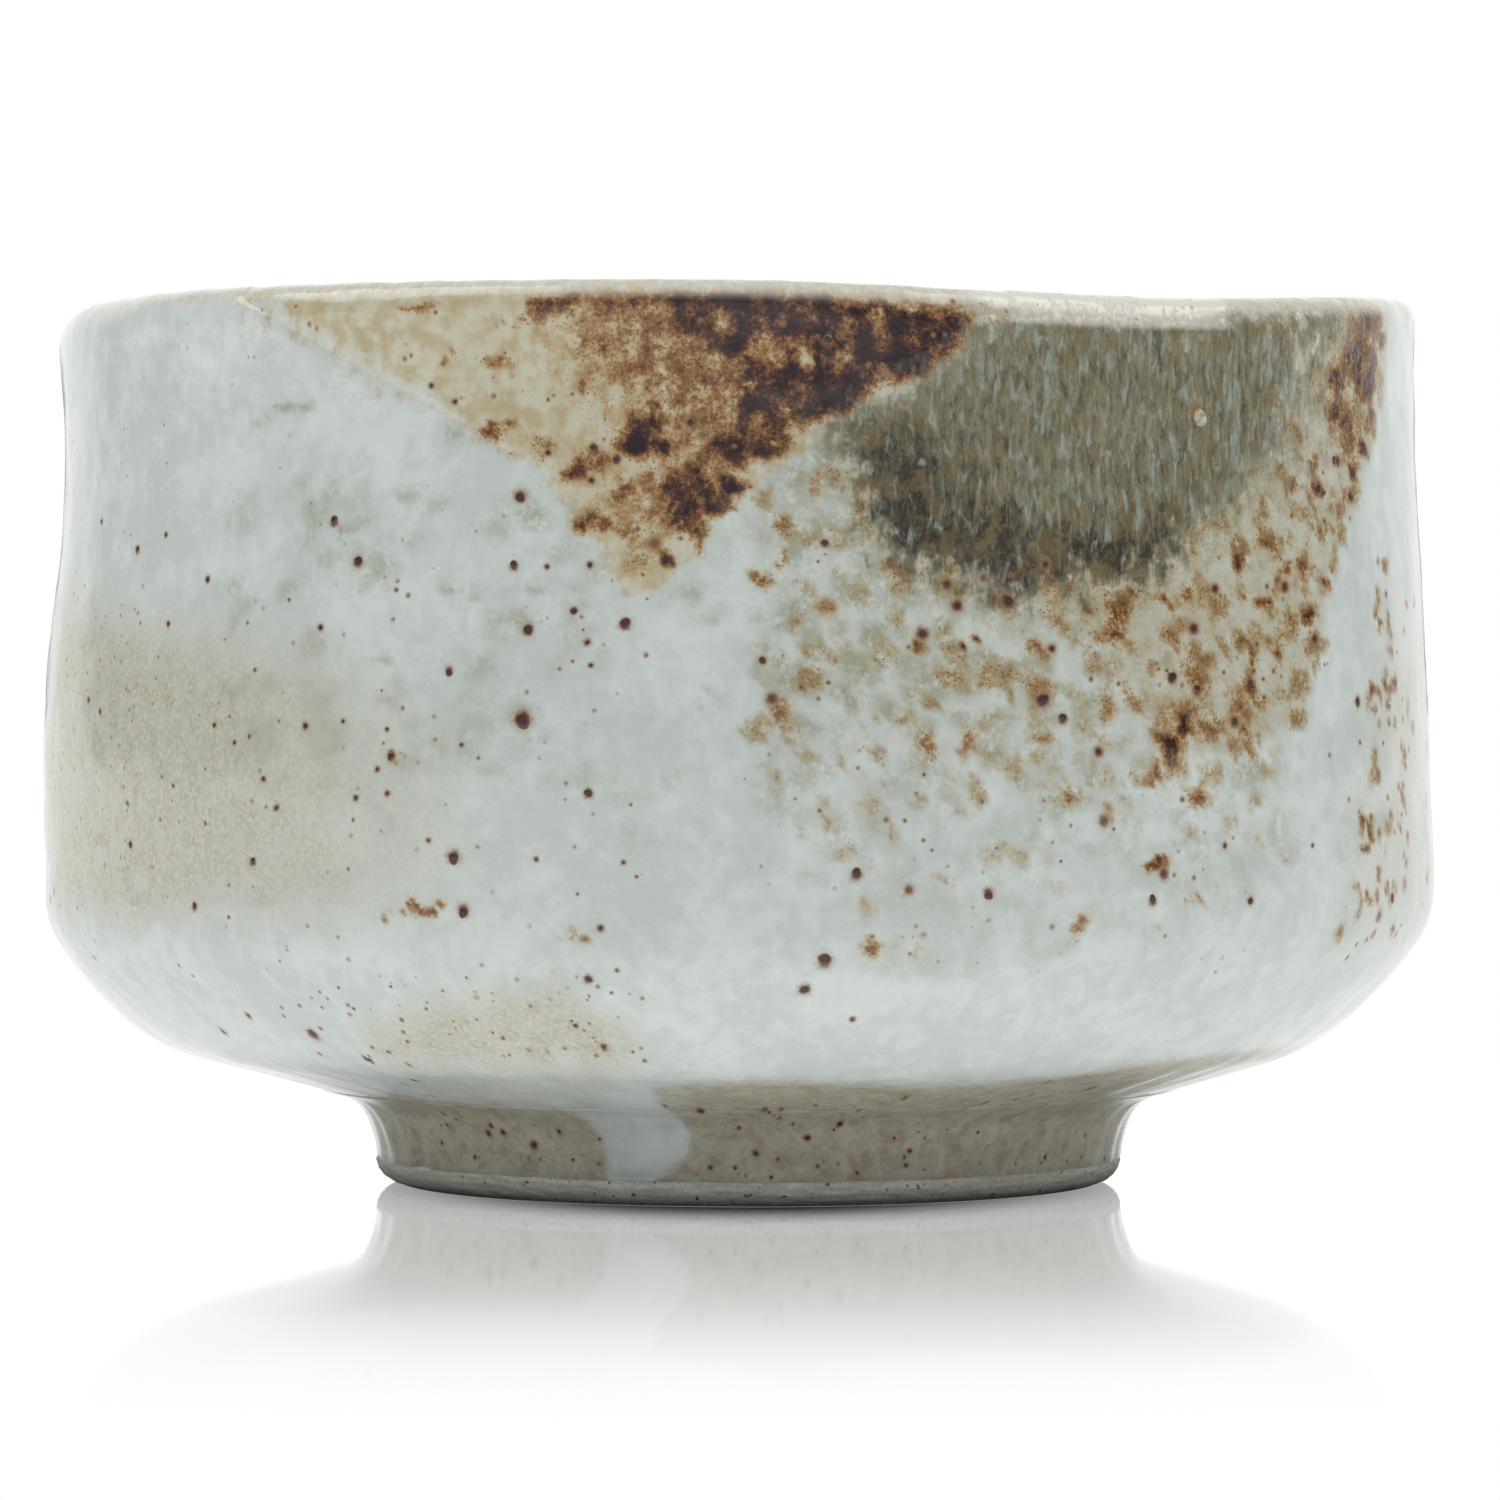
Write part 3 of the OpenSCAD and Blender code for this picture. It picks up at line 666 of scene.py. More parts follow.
def blot_field(azimuth, height, blots):
    """All blots together, where the strongest one rules."""
    total = np.zeros(azimuth.shape)
    for place in blots:
        reach = 2.4 * max(place[2], place[3])
        x = half_turn(azimuth - place[0]) * DEGREE_MM
        near = (np.abs(x) < reach) & (np.abs(height - place[1]) < reach)
        if near.any():
            total[near] += blot(azimuth[near], height[near], place) ** 3
    return np.cbrt(total)


BACK_BLOTS = (scattered_blots(BACK_TRIANGLE, 46, 21, (0.7, 1.7), (0.5, 0.9))
              + scattered_blots(BACK_CORE, 16, 22, (0.8, 1.6), (0.95, 1.2))
              + scattered_blots(BACK_STIPPLE, 60, 23, (0.5, 1.4), (0.55, 1.0))
              + scattered_blots(BACK_DAPPLE, 110, 24, (0.4, 1.2), (0.35, 0.95))
              + scattered_blots(SIDE_PATCH, 60, 25, (0.3, 0.8), (0.35, 0.8), 1.3)
              + scattered_blots(SIDE_EDGE, 60, 35, (0.3, 0.9), (0.4, 0.9), 0.7))
ALL_BLOTS = TRIANGLE_BLOTS + DAPPLE_BLOTS + STIPPLE_BLOTS + SMEARS + BACK_BLOTS
CELLS = (cell_blots(DAPPLE, 2.5, 28, (0.6, 1.3), (0.05, 0.72))
         + cell_blots(STIPPLE, 2.2, 30, (0.6, 1.1), (0.06, 0.66))
         + cell_blots(BACK_DAPPLE, 2.6, 32, (0.6, 1.2), (0.05, 0.6))
         + cell_blots(BACK_STIPPLE, 2.4, 33, (0.6, 1.1), (0.1, 0.7)))
SHADES = (BRUSH_MARKS + cell_blots(DAPPLE, 2.6, 27, (0.8, 1.5), (0.1, 1.1))
          + cell_blots(BACK_DAPPLE, 2.9, 29, (0.8, 1.5), (0.2, 0.9))
          + scattered_blots(LEFT_OF_FRONT, 90, 26, (0.4, 1.2), (0.15, 0.5), 1.5, 24))
# A blot smaller than this is drawn as a speck, because the mesh is too coarse for it
SMALL = 0.56


def placed_specks():
    """Every speck on the glaze, as rows of azimuth, height, diameter and tone (1 dark iron, 0 pale rust)."""
    specks = [(a, z, d, 1.0 if d > 0.55 else 0.75) for a, z, d in SPOTS + FOOT_SPOTS]
    # A painted shadow of the glaze bead, drawn as a rusty speck just above and left of it
    specks.append((38.9, 65.4, 1.7, 0.35))
    for a, z, width, tall, strength in (place[:5] for place in ALL_BLOTS):
        if max(width, tall) < SMALL and strength > 0.3:
            specks.append((a, z, 2.5 * math.sqrt(width * tall), min(0.85, strength - 0.25)))
    draw = np.random.default_rng(31)

    def sprinkle(count, where, diameters, tones):
        for _ in range(count):
            a = draw.uniform(where[0], where[1])
            z = draw.uniform(where[2], where[3])
            specks.append((a, z, draw.uniform(*diameters), draw.uniform(*tones)))

    sprinkle(150, (-72, -6, 18, 52), (0.22, 0.42), (0.1, 0.6))
    sprinkle(60, (-118, -66, 20, 52), (0.25, 0.6), (0.1, 0.8))
    sprinkle(70, (-72, -8, 50, 74), (0.16, 0.32), (0.05, 0.4))
    sprinkle(60, (0, 50, 20, 46), (0.18, 0.36), (0.05, 0.35))
    sprinkle(110, (-78, -56, 24, 50), (0.2, 0.36), (0.1, 0.5))
    sprinkle(70, (-42, -8, 12, 20), (0.2, 0.4), (0.2, 0.7))
    sprinkle(60, (54, 112, 20, 50), (0.2, 0.5), (0.2, 0.8))
    sprinkle(110, (112, 292, 16, 74), (0.2, 0.5), (0.1, 0.7))
    sprinkle(26, (90, 292, 18, 72), (0.6, 1.2), (0.9, 1.0))
    sprinkle(220, (-180, 180, 2.6, 11), (0.2, 0.45), (0.2, 0.9))
    sprinkle(90, (-180, 180, -25, 2), (0.3, 0.7), (0.3, 1.0))
    sprinkle(160, (-180, 180, 80, 170), (0.2, 0.6), (0.1, 0.9))
    crowded = ((TRIANGLE, 170), (STIPPLE, 150), (DAPPLE, 60), (BACK_TRIANGLE, 80), (BACK_STIPPLE, 120))
    for outline, count in crowded:
        for a, z, size, _, shade, _ in scattered_blots(outline, count, 60 + count, (0.12, 0.26), (0.1, 0.65)):
            specks.append((a, z, 2 * size, shade))
    # None on the white tongue, and none on the lip's crown, where the pattern is stretched
    return np.array([(a, z, diameter, tones) for a, z, diameter, tones in specks
                     if not 73.8 < z < 79.5 and outline_depth(np.array(a), np.array(z), TONGUE) <= 0])


SPECKS = placed_specks()


def speck_scale(pattern):
    """Millimetres per degree round the bowl at each place in the pattern."""
    places = [-26, -6, 0, 8, 12, 18, 26, 76, 110, 122, 136, 176]
    radii = [1, 23, 31, 34, 46, 54, 60, 57, 54, 54, 41, 1]
    return np.radians(1) * np.interp(pattern, places, radii)


def pushed(azimuth, pattern, seed):
    """Small random shifts in millimetres, so that no outline or blot is straight or round."""
    return 0.26 * ripples(azimuth, pattern, 5, 18, seed) + 0.16 * ripples(azimuth, pattern, 2.4, 18, seed + 1)


def deepest(a, z, *outlines):
    """Signed distance into whichever of the outlines the point is deepest in."""
    return np.maximum.reduce([outline_depth(a, z, outline) for outline in outlines])


def glaze_fields(azimuth, pattern):
    """The smooth fields of the glaze's pattern at each point."""
    a = azimuth + pushed(azimuth, pattern, 71) / DEGREE_MM
    z = pattern + pushed(azimuth, pattern, 73)
    cream = deepest(a, z, TRIANGLE, BACK_TRIANGLE)
    ash = deepest(a, z, ASH, BACK_ASH)
    core = deepest(a, z, CORE, BACK_CORE)
    fringe = smooth(deepest(a, z, STIPPLE, BACK_STIPPLE), -1.0, 1.6)
    dapple = smooth(deepest(a, z, DAPPLE, BACK_DAPPLE), -2, 5)
    in_cream = smooth(cream, -1, 1)
    past_crown = pattern - round_the_bowl(azimuth, LIP_HEIGHTS)

    # Iron: blots, a honeycomb of cells, and a stain over the triangle that is darkest in its core
    blots = blot_field(a, z, [place for place in ALL_BLOTS if max(place[2], place[3]) >= SMALL])
    cells = blot_field(a, z, CELLS) * (0.45 + 0.55 * smooth(z, 26, 46)) * smooth(z, 19, 23)
    patches = smooth(cells, 0.1, 0.32)
    ground = smooth(cream, -0.6, 3.0) * (0.15 + 0.42 * smooth(core, -14, -1) + 0.26 * fall(z, 56, 63))
    iron = np.maximum.reduce([
        np.minimum(blots * (1 + 0.12 * in_cream), 0.78 + 0.5 * in_cream), 0.9 * smooth(core, -1.2, 1.0),
        blot_field(a, z, CORE_BLOTS), ground, 0.22 * fringe, patches * (0.1 + 0.55 * cells + 0.14 * fringe)])
    iron = (iron - blot_field(a, z, CORE_GAPS)) * (1 - 0.8 * smooth(past_crown, -1.5, -0.4))

    # Grey green stains under and between the blots
    between = bump(a, 6, 6) * smooth(z, 50, 56) * fall(z, 62, 66)
    shade = np.maximum.reduce([
        blot_field(a, z, SHADES) * (1 - 0.75 * fall(z, 26, 44)),
        patches * (0.55 + 0.9 * cells) * smooth(z, 20, 46), 0.05 * dapple * smooth(z, 30, 44),
        (1 - in_cream) * 0.9 * blots, 0.95 * smooth(ash, -5, 0), 0.2 * fringe, 0.5 * between])

    # From here on the ash and the bare cream are thinner at their far ends
    ash = ash * (1 - 0.75 * smooth(a, 44, 54) * fall(a, 70, 80))
    cream = cream * (1 - 0.7 * smooth(-a, 17, 30) * smooth(a, -60, -50))

    # A painted highlight: a pale line where the lip's outer edge catches the light, and the buff washes
    line = smooth(past_crown, -2.7, -2.3) * smooth(-past_crown, -0.6, 0.4)
    line *= smooth(a, 17, 24) * fall(a, 40, 45)
    wash = smooth(outline_depth(a, z, BUFF_WASH), -3, 6) * (0.25 + 0.75 * smooth(-a, 16, 48))
    wash *= smooth(z, 22.2, 23.4)
    buff = np.maximum.reduce([
        wash, smooth(outline_depth(a, z, BUFF_HIP), -2.5, 2.5),
        0.5 * smooth(outline_depth(a, z, SIDE_PATCH), -6, 9), 0.5 * fringe, 0.2 * dapple * smooth(z, 30, 46),
        smooth(ash, -2.5, 0.5)])

    ash_dark = fall(z, 53, 59) + bump(a, 12, 6) * fall(z, 59, 67)
    foot = np.minimum(round_the_bowl(a, BUFF_TOP) - pattern, -outline_depth(azimuth, pattern, TONGUE))
    # The lip's value goes above 1 where the painted highlight line adds to it
    return {"iron": np.clip(iron, 0, 1.4), "cream": np.clip(cream, -5, 5), "ash": np.clip(ash, -5, 5),
            "ash_dark": np.clip(ash_dark, 0, 1), "shade": shade * (1 - smooth(past_crown, -0.5, 3)),
            "lip": (smooth(past_crown, -1.9, -0.6) + line) * (1 - smooth(past_crown, 5, 12)),
            "buff": buff, "foot": np.clip(foot, -5, 5)}


def nearest_specks(face_a, face_z, scale):
    """The number of the speck nearest to the middle of each face, and whether there is none near it."""
    far = 6.0
    nearest = np.zeros(len(face_a), np.int32)
    closest = np.full(len(face_a), far)
    order = np.argsort(face_z)
    sorted_z = face_z[order]
    for k, (a, z, diameter, _) in enumerate(SPECKS):
        near = order[np.searchsorted(sorted_z, z - 2.5):np.searchsorted(sorted_z, z + 2.5)]
        gap = np.hypot(half_turn(face_a[near] - a) * scale[near], face_z[near] - z) - diameter / 2
        better = gap < closest[near]
        closest[near[better]] = gap[better]
        nearest[near[better]] = k
    return nearest, closest > far - 0.1


def paint(piece, azimuth, pattern):
    """Stores the glaze's pattern on a piece: smooth fields on points, and the nearest speck on corners."""
    mesh = piece.data
    for name, values in glaze_fields(azimuth, pattern).items():
        store(piece, name, "FLOAT", "POINT", values)
    azimuth, pattern = azimuth.ravel(), pattern.ravel()
    corners = np.empty(len(mesh.loops), np.int32)
    mesh.loops.foreach_get("vertex_index", corners)
    sizes = np.empty(len(mesh.polygons), np.int32)
    mesh.polygons.foreach_get("loop_total", sizes)
    starts = np.concatenate([[0], np.cumsum(sizes)[:-1]])
    from_first = half_turn(azimuth[corners] - np.repeat(azimuth[corners[starts]], sizes))
    face_a = azimuth[corners[starts]] + np.add.reduceat(from_first, starts) / sizes
    face_z = np.add.reduceat(pattern[corners], starts) / sizes
    scale = speck_scale(face_z)
    nearest, none_near = nearest_specks(face_a, face_z, scale)
    _, z, diameter, tones = SPECKS[np.repeat(nearest, sizes)].T
    across = np.repeat(half_turn(face_a - SPECKS[nearest, 0]), sizes)
    across += half_turn(azimuth[corners] - np.repeat(face_a, sizes))
    offset = np.stack([across * np.repeat(scale, sizes), pattern[corners] - z, 0 * z], 1)
    offset /= (diameter / 2)[:, None]
    offset[np.repeat(none_near, sizes)] = (9, 9, 0)
    store(piece, "speck", "FLOAT_VECTOR", "CORNER", offset)
    store(piece, "speck_tone", "FLOAT", "CORNER", tones)


# ---------------------------------------------------------------- shader arithmetic
class Wire:
    """A value in a shader's node tree. Plain arithmetic on it adds Math nodes."""

    def __init__(self, tree, socket):
        self.tree, self.socket = tree, socket

    def math(self, operation, *others):
        node = self.tree.nodes.new("ShaderNodeMath")
        node.operation = operation
        feed(self.tree, node.inputs, (self,) + others)
        return Wire(self.tree, node.outputs[0])

    def vector(self, operation, *others):
        node = self.tree.nodes.new("ShaderNodeVectorMath")
        node.operation = operation
        feed(self.tree, node.inputs, (self,) + others)
        return Wire(self.tree, node.outputs["Value" if operation == "LENGTH" else "Vector"])

    def __add__(self, other):
        return self.math("ADD", other)

    def __sub__(self, other):
        return self.math("SUBTRACT", other)

    def __mul__(self, other):
        return self.math("MULTIPLY", other)

    def over(self, other):
        return self.math("MAXIMUM", other)

    def under(self, other):
        return self.math("MINIMUM", other)

    def rise(self, low, high, bottom=0.0, top=1.0):
        """bottom where this is below low, top above high, and an S curve between."""
        node = self.tree.nodes.new("ShaderNodeMapRange")
        node.interpolation_type = "SMOOTHSTEP"
        feed(self.tree, node.inputs, (self, low, high, bottom, top))
        return Wire(self.tree, node.outputs[0])


def feed(tree, inputs, values):
    """Links wires to sockets and sets numbers and colours on them, in order."""
    for socket, value in zip(inputs, values):
        if isinstance(value, Wire):
            tree.links.new(value.socket, socket)
        elif value is not None:
            socket.default_value = value


class Shader:
    """One material being built from nodes."""

    def __init__(self, name):
        self.material = bpy.data.materials.new(name)
        self.material.use_nodes = True
        self.tree = self.material.node_tree
        self.tree.nodes.clear()
        coordinates = self.tree.nodes.new("ShaderNodeTexCoord")
        self.place = Wire(self.tree, coordinates.outputs["Object"]).vector("MULTIPLY", (1000, 1000, 1000))

    def noise(self, per_mm, detail=2.0, rough=0.55, stretch=None, sway=0.0):
        """Noise from 0 to 1, with about this many features in a millimetre."""
        node = self.tree.nodes.new("ShaderNodeTexNoise")
        place = self.place.vector("MULTIPLY", stretch) if stretch else self.place
        self.tree.links.new(place.socket, node.inputs["Vector"])
        settings = {"Scale": per_mm, "Detail": detail, "Roughness": rough, "Distortion": sway}
        for socket, value in settings.items():
            node.inputs[socket].default_value = value
        return Wire(self.tree, node.outputs["Fac"])

    def cells(self, per_mm):
        """Distance from the nearest of many random points, with about this many of them in a millimetre."""
        node = self.tree.nodes.new("ShaderNodeTexVoronoi")
        self.tree.links.new(self.place.socket, node.inputs["Vector"])
        node.inputs["Scale"].default_value = per_mm
        return Wire(self.tree, node.outputs["Distance"])

    def attribute(self, name, output="Fac"):
        node = self.tree.nodes.new("ShaderNodeAttribute")
        node.attribute_name = name
        return Wire(self.tree, node.outputs[output])

    def ramp(self, value, stops):
        """Colours along a value, as (place, colour)."""
        node = self.tree.nodes.new("ShaderNodeValToRGB")
        self.tree.links.new(value.socket, node.inputs[0])
        elements = node.color_ramp.elements
        while len(elements) < len(stops):
            elements.new(1.0)
        for element, (place, colour) in zip(elements, stops):
            element.position = place
            element.color = colour
        return Wire(self.tree, node.outputs["Color"])

    def mix(self, factor, below, above):
        node = self.tree.nodes.new("ShaderNodeMix")
        node.data_type = "RGBA"
        colours = [socket for socket in node.inputs if socket.type == "RGBA"]
        feed(self.tree, [node.inputs[0]] + colours, (factor, below, above))
        return Wire(self.tree, node.outputs[2])

    def bump(self, height, distance, normal=None):
        """A normal from a height, whose 0 to 1 stands for this many millimetres."""
        node = self.tree.nodes.new("ShaderNodeBump")
        node.inputs["Distance"].default_value = distance * MM
        self.tree.links.new(height.socket, node.inputs["Height"])
        if normal:
            self.tree.links.new(normal.socket, node.inputs["Normal"])
        return Wire(self.tree, node.outputs[0])

    def finish(self, colour, roughness, normal, ior=1.5, **fixed):
        surface = self.tree.nodes.new("ShaderNodeBsdfPrincipled")
        output = self.tree.nodes.new("ShaderNodeOutputMaterial")
        sockets = [surface.inputs[name] for name in ("Base Color", "Roughness", "Normal")]
        feed(self.tree, sockets, (colour, roughness, normal))
        surface.inputs["IOR"].default_value = ior
        for name, value in fixed.items():
            surface.inputs[name.replace("_", " ").title()].default_value = value
        self.tree.links.new(surface.outputs[0], output.inputs["Surface"])
        return self.material


# How bright a pale surface looks on the bowl under these lights, so that colours can be given as they look
LIGHT_LEVEL = 0.85


def tone(red, green, blue):
    """The surface colour that looks like this 0 to 255 colour on the front of the bowl."""
    linear = [((c / 255 + 0.055) / 1.055) ** 2.4 if c > 10 else c / 255 / 12.92 for c in (red, green, blue)]
    return (*(min(0.9, c / LIGHT_LEVEL) for c in linear), 1.0)


# ---------------------------------------------------------------- materials
def glaze_material(name):
    """The fired glaze: white with soft clouds, broken by ash, rust and iron where the pattern says."""
    sh = Shader(name)
    grain = sh.noise(2.3, 3.0, 0.65)
    fine = sh.noise(5.2, 1.0)
    blotch = sh.noise(0.55, 3.0, 0.6, sway=0.4)
    cloud = sh.noise(0.13, 2.0, 0.5)
    streak = sh.noise(1.7, 4.0, 0.62, (1, 1, 0.3), 0.5)
    wisp = sh.noise(1.4, 3.0, 0.6, (1, 1, 0.36), 0.5)
    clot = sh.noise(0.62, 2.0, 0.5)

    # White, a little warmer and cooler in clouds, with the buff washes over it
    white = sh.mix((cloud * 0.5 + blotch * 0.5).rise(0.4, 0.62), tone(188, 196, 191), tone(202, 210, 206))
    white = sh.mix(fine.rise(0.5, 0.75, 0, 0.3), white, tone(208, 213, 208))
    buff = sh.attribute("buff") * (blotch * 0.7 + grain * 0.5).rise(0.42, 0.72, 0.5, 1.0)
    buff_colour = sh.mix(grain.rise(0.38, 0.62), tone(164, 161, 140), tone(191, 188, 170))
    colour = sh.mix(buff, white, buff_colour)

    # Grey green stains under the iron
    shade = sh.attribute("shade") * (clot * 0.6 + grain * 0.6).rise(0.4, 0.72)
    colour = sh.mix(shade * 0.8, colour, tone(144, 146, 124))

    # The cream base glaze, bare where the white stops
    cream_edge = (sh.attribute("cream") + (grain * 2.0 - 1.0) + (clot * 2.0 - 1.0)).rise(-0.6, 0.8)
    cream = sh.mix(clot.rise(0.38, 0.68), tone(193, 190, 170), tone(178, 163, 130))
    colour = sh.mix(cream_edge, colour, cream)

    # Iron: a soft stain from grey tan through rust to nearly black, with grains of rust on it
    iron = sh.attribute("iron")
    speckled = (grain * 1.1 - 0.55) + (clot * 1.3 - 0.65) + (fine * 0.5 - 0.25)
    strength = iron + speckled * iron.rise(-0.1, 0.8, 0.0, 1.0)
    rust = sh.ramp(strength * 0.7, [
        (0.06, tone(184, 180, 154)), (0.19, tone(174, 154, 114)), (0.31, tone(158, 126, 82)),
        (0.42, tone(132, 95, 58)), (0.53, tone(96, 62, 42)), (0.63, tone(64, 39, 35)),
        (0.78, tone(38, 22, 26))])
    colour = sh.mix(strength.rise(0.0, 0.55), colour, rust)
    colour = sh.mix(shade * iron.rise(0.2, 0.75, 0.6, 0.0), colour, tone(150, 146, 118))
    dots = (sh.cells(2.4) - iron * 0.2).rise(0.05, 0.26, 0.75, 0.0)
    dots = dots * iron.rise(0.08, 0.4) * iron.rise(0.55, 0.85, 1.0, 0.0)
    colour = sh.mix(dots, colour, tone(112, 74, 46))

    # Ash, in runs of olive, pale blue grey and gold
    ash_place = sh.attribute("ash") * 0.6 + (streak * 4.0 - 2.0) + (clot * 4.0 - 2.0) + (grain * 1.6 - 0.8)
    ash_dark = sh.attribute("ash_dark")
    ash = sh.ramp(streak + grain * 0.2 + blotch * 0.15 - ash_dark * 0.26, [
        (0.40, tone(54, 50, 42)), (0.54, tone(84, 80, 63)), (0.66, tone(110, 107, 85)),
        (0.80, tone(130, 131, 110))])
    ash = sh.mix((blotch + grain * 0.4).rise(0.62, 0.84, 0.0, 0.6), ash, tone(116, 100, 66))
    ash = sh.mix((wisp - ash_dark * 0.06).rise(0.48, 0.72, 0.0, 0.8), ash, tone(146, 158, 150))
    ash = sh.mix((clot * 0.7 + grain * 0.3).rise(0.64, 0.74, 0.0, 0.7), ash, tone(94, 68, 48))
    ash = sh.mix(fine.rise(0.70, 0.76, 0, 0.4), ash, tone(176, 174, 150))
    colour = sh.mix(ash_place.rise(-0.8, 1.2), colour, ash)

    # The pale lip, where the glaze has run thin, and a painted highlight along its outer edge
    lip = sh.attribute("lip")
    lip_and_highlight_colour = sh.mix(streak.rise(0.4, 0.64), tone(194, 188, 172), tone(209, 209, 200))
    # Above 1 the lip's value is the painted highlight along its outer edge
    lip_and_highlight_colour = sh.mix(lip.rise(0.9, 1.4), lip_and_highlight_colour, tone(216, 214, 202))
    colour = sh.mix((lip * (grain * 0.4 + 0.6)).under(1.0), colour, lip_and_highlight_colour)

    # The foot's own buff glaze
    foot_edge = (sh.attribute("foot") + (grain * 1.6 - 0.8)).rise(-0.5, 0.6)
    foot = sh.mix((grain * 0.45 + blotch * 0.55).rise(0.36, 0.64), tone(158, 154, 136), tone(182, 179, 161))
    foot = sh.mix(clot.rise(0.54, 0.68, 0.0, 0.5), foot, tone(146, 126, 96))
    colour = sh.mix(foot_edge, colour, foot)

    # Specks: dark ones nearly black with a rusty edge and a halo, pale ones only a broken rusty smudge
    apart = sh.attribute("speck", "Vector").vector("LENGTH") * (grain * 1.2 + 0.4)
    dark_one = sh.attribute("speck_tone")
    solid = (dark_one + grain * 1.8 - 0.9).rise(-0.1, 0.65)
    colour = sh.mix(apart.rise(0.6, 2.0, 0.5, 0.0) * solid, colour, tone(146, 118, 82))
    dark = sh.mix(apart.rise(0.2, 0.95), tone(66, 43, 40), tone(122, 80, 52))
    spot = sh.mix(dark_one.rise(0.3, 0.85), tone(138, 102, 66), dark)
    colour = sh.mix(apart.rise(0.4, 1.25, 1.0, 0.0) * solid, colour, spot)

    skin = sh.bump(sh.noise(0.42, 2.0, 0.5), 0.05)
    skin = sh.bump(grain, 0.012, skin)
    in_ash = ash_place.rise(-0.5, 0.8)
    skin = sh.bump(streak * in_ash, 0.12, skin)
    roughness = (blotch * 0.06 + 0.08) + in_ash * 0.07
    return sh.finish(colour, roughness, skin)


def clay_material(name):
    """Bare fired clay, pale and matt, with fine sand and a few iron grains."""
    sh = Shader(name)
    sand = sh.noise(2.6, 3.0, 0.7)
    turned = sh.noise(0.9, 2.0, 0.5, (0.25, 0.25, 2.4))
    mottle = (sand * 0.6 + turned * 0.4).rise(0.38, 0.62)
    colour = sh.mix(mottle, tone(196, 194, 182), tone(222, 221, 212))
    colour = sh.mix(sh.noise(1.4, 1.0).rise(0.68, 0.74), colour, tone(124, 100, 80))
    normal = sh.bump(sand, 0.1, sh.bump(turned, 0.12))
    return sh.finish(colour, 0.55, normal)


def iron_material(name):
    """An iron spot melted through the glaze: nearly black, with a cooler, glassy middle that is painted a
    little lighter, partly as a painted glint.
    """
    sh = Shader(name)
    apart = sh.attribute("share")
    # The lighter, cooler middle is partly a painted glint on the spot's glassy top
    middle = (apart + sh.noise(3.0, 2.0) * 0.5 - 0.25).rise(0.1, 0.7)
    colour = sh.mix(middle, tone(72, 52, 50), tone(58, 38, 34))
    colour = sh.mix(apart.rise(0.5, 1.0), colour, tone(112, 74, 50))
    return sh.finish(colour, 0.16, sh.bump(sh.noise(2.0), 0.03))


def bead_material(name):
    """A bubble of glassy ash glaze."""
    sh = Shader(name)
    colour = sh.mix(sh.noise(1.4, 2.0).rise(0.4, 0.62), tone(150, 146, 122), tone(188, 184, 160))
    return sh.finish(colour, 0.05, sh.bump(sh.noise(1.2), 0.02))


# ---------------------------------------------------------------- pieces
def skin_noise(surface):
    """The glaze's own soft unevenness, as a lift in millimetres."""
    a, z = surface.azimuth, surface.pattern
    return 0.022 * ripples(a, z, 8, 40, 41) + 0.009 * ripples(a, z, 3.4, 40, 42)


def ship(piece, node, material):
    """Gives a piece its material, puts it under the root body, and hides the CAD node that it stands for."""
    piece.data.materials.append(material)
    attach(piece, "root")
    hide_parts(node)


def ship_glaze(coat, node, material):
    """Paints and ships a coat, which is a piece with the azimuth and the pattern's place of its points."""
    piece, azimuth, pattern = coat
    paint(piece, azimuth, pattern)
    ship(piece, node, material)


def rust_area(surface):
    """Signed distance into the window that the rust glaze fills in the white, on the outside of the lip."""
    a, z = surface.azimuth, surface.pattern
    return np.minimum.reduce([outline_depth(a, z, TRIANGLE), 78.5 - z, (22 - a) * DEGREE_MM])


def ash_area(surface):
    """Signed distance into the ash run."""
    return outline_depth(surface.azimuth, surface.pattern, ASH)


def build_clay_body():
    coarse = columns(2.4, 2.4)
    clay = Surface.joined([well(coarse, 2.0), outside(coarse, 2.0).rows_between(0, 79)]).lift(-COAT - 0.1)
    points = clay.points
    middle = points[-1].mean(0)
    points = np.concatenate([points, middle + (points[-1:] - middle) * 0.02])
    ship(capped("clay_body_form", points), "clay_body", clay_material("clay_inside"))


def build_base_glaze():
    surface = outside(columns(2.4, 2.4), 2.0).lift(-0.56)
    piece, _, _ = coat_ring("base_glaze_form", surface, 0.3, 30)
    ship(piece, "base_glaze", bead_material("base_glaze"))


def build_white_glaze(material):
    surface = outside(columns(0.56, 0.84), 0.66)
    sunk = 0.24 * smooth(rust_area(surface), -0.4, 0.4) + 0.1 * smooth(ash_area(surface), -0.6, 0.6)
    surface.lift(skin_noise(surface) - np.minimum(sunk, 0.25))
    coat = coat_ring("white_glaze_form", surface, 0.2, 20)
    ship_glaze(coat, "white_glaze", material)


def build_rust_glaze(material):
    surface = outside(np.arange(-47, 24, 0.54), 0.62).rows_between(48, 79.5)
    area = rust_area(surface)
    surface.lift(skin_noise(surface) - 0.08 - 0.5 * (1 - smooth(area, -0.9, 0.1)))
    coat = coat_patch("rust_glaze_form", surface, 0.12)
    ship_glaze(coat, "rust_glaze", material)


def build_ash_glaze(material):
    surface = outside(np.arange(4, 63, 0.5), 0.56).rows_between(49, 75.5)
    runs = 0.035 * ripples(surface.azimuth, surface.pattern * 0.3, 2.4, 40, 43)
    area = ash_area(surface) + 8 * runs
    surface.lift(skin_noise(surface) + 0.14 + runs - 0.6 * (1 - smooth(area, -1.4, 1.0)))
    coat = coat_patch("ash_glaze_form", surface, 0.12)
    ship_glaze(coat, "ash_glaze", material)


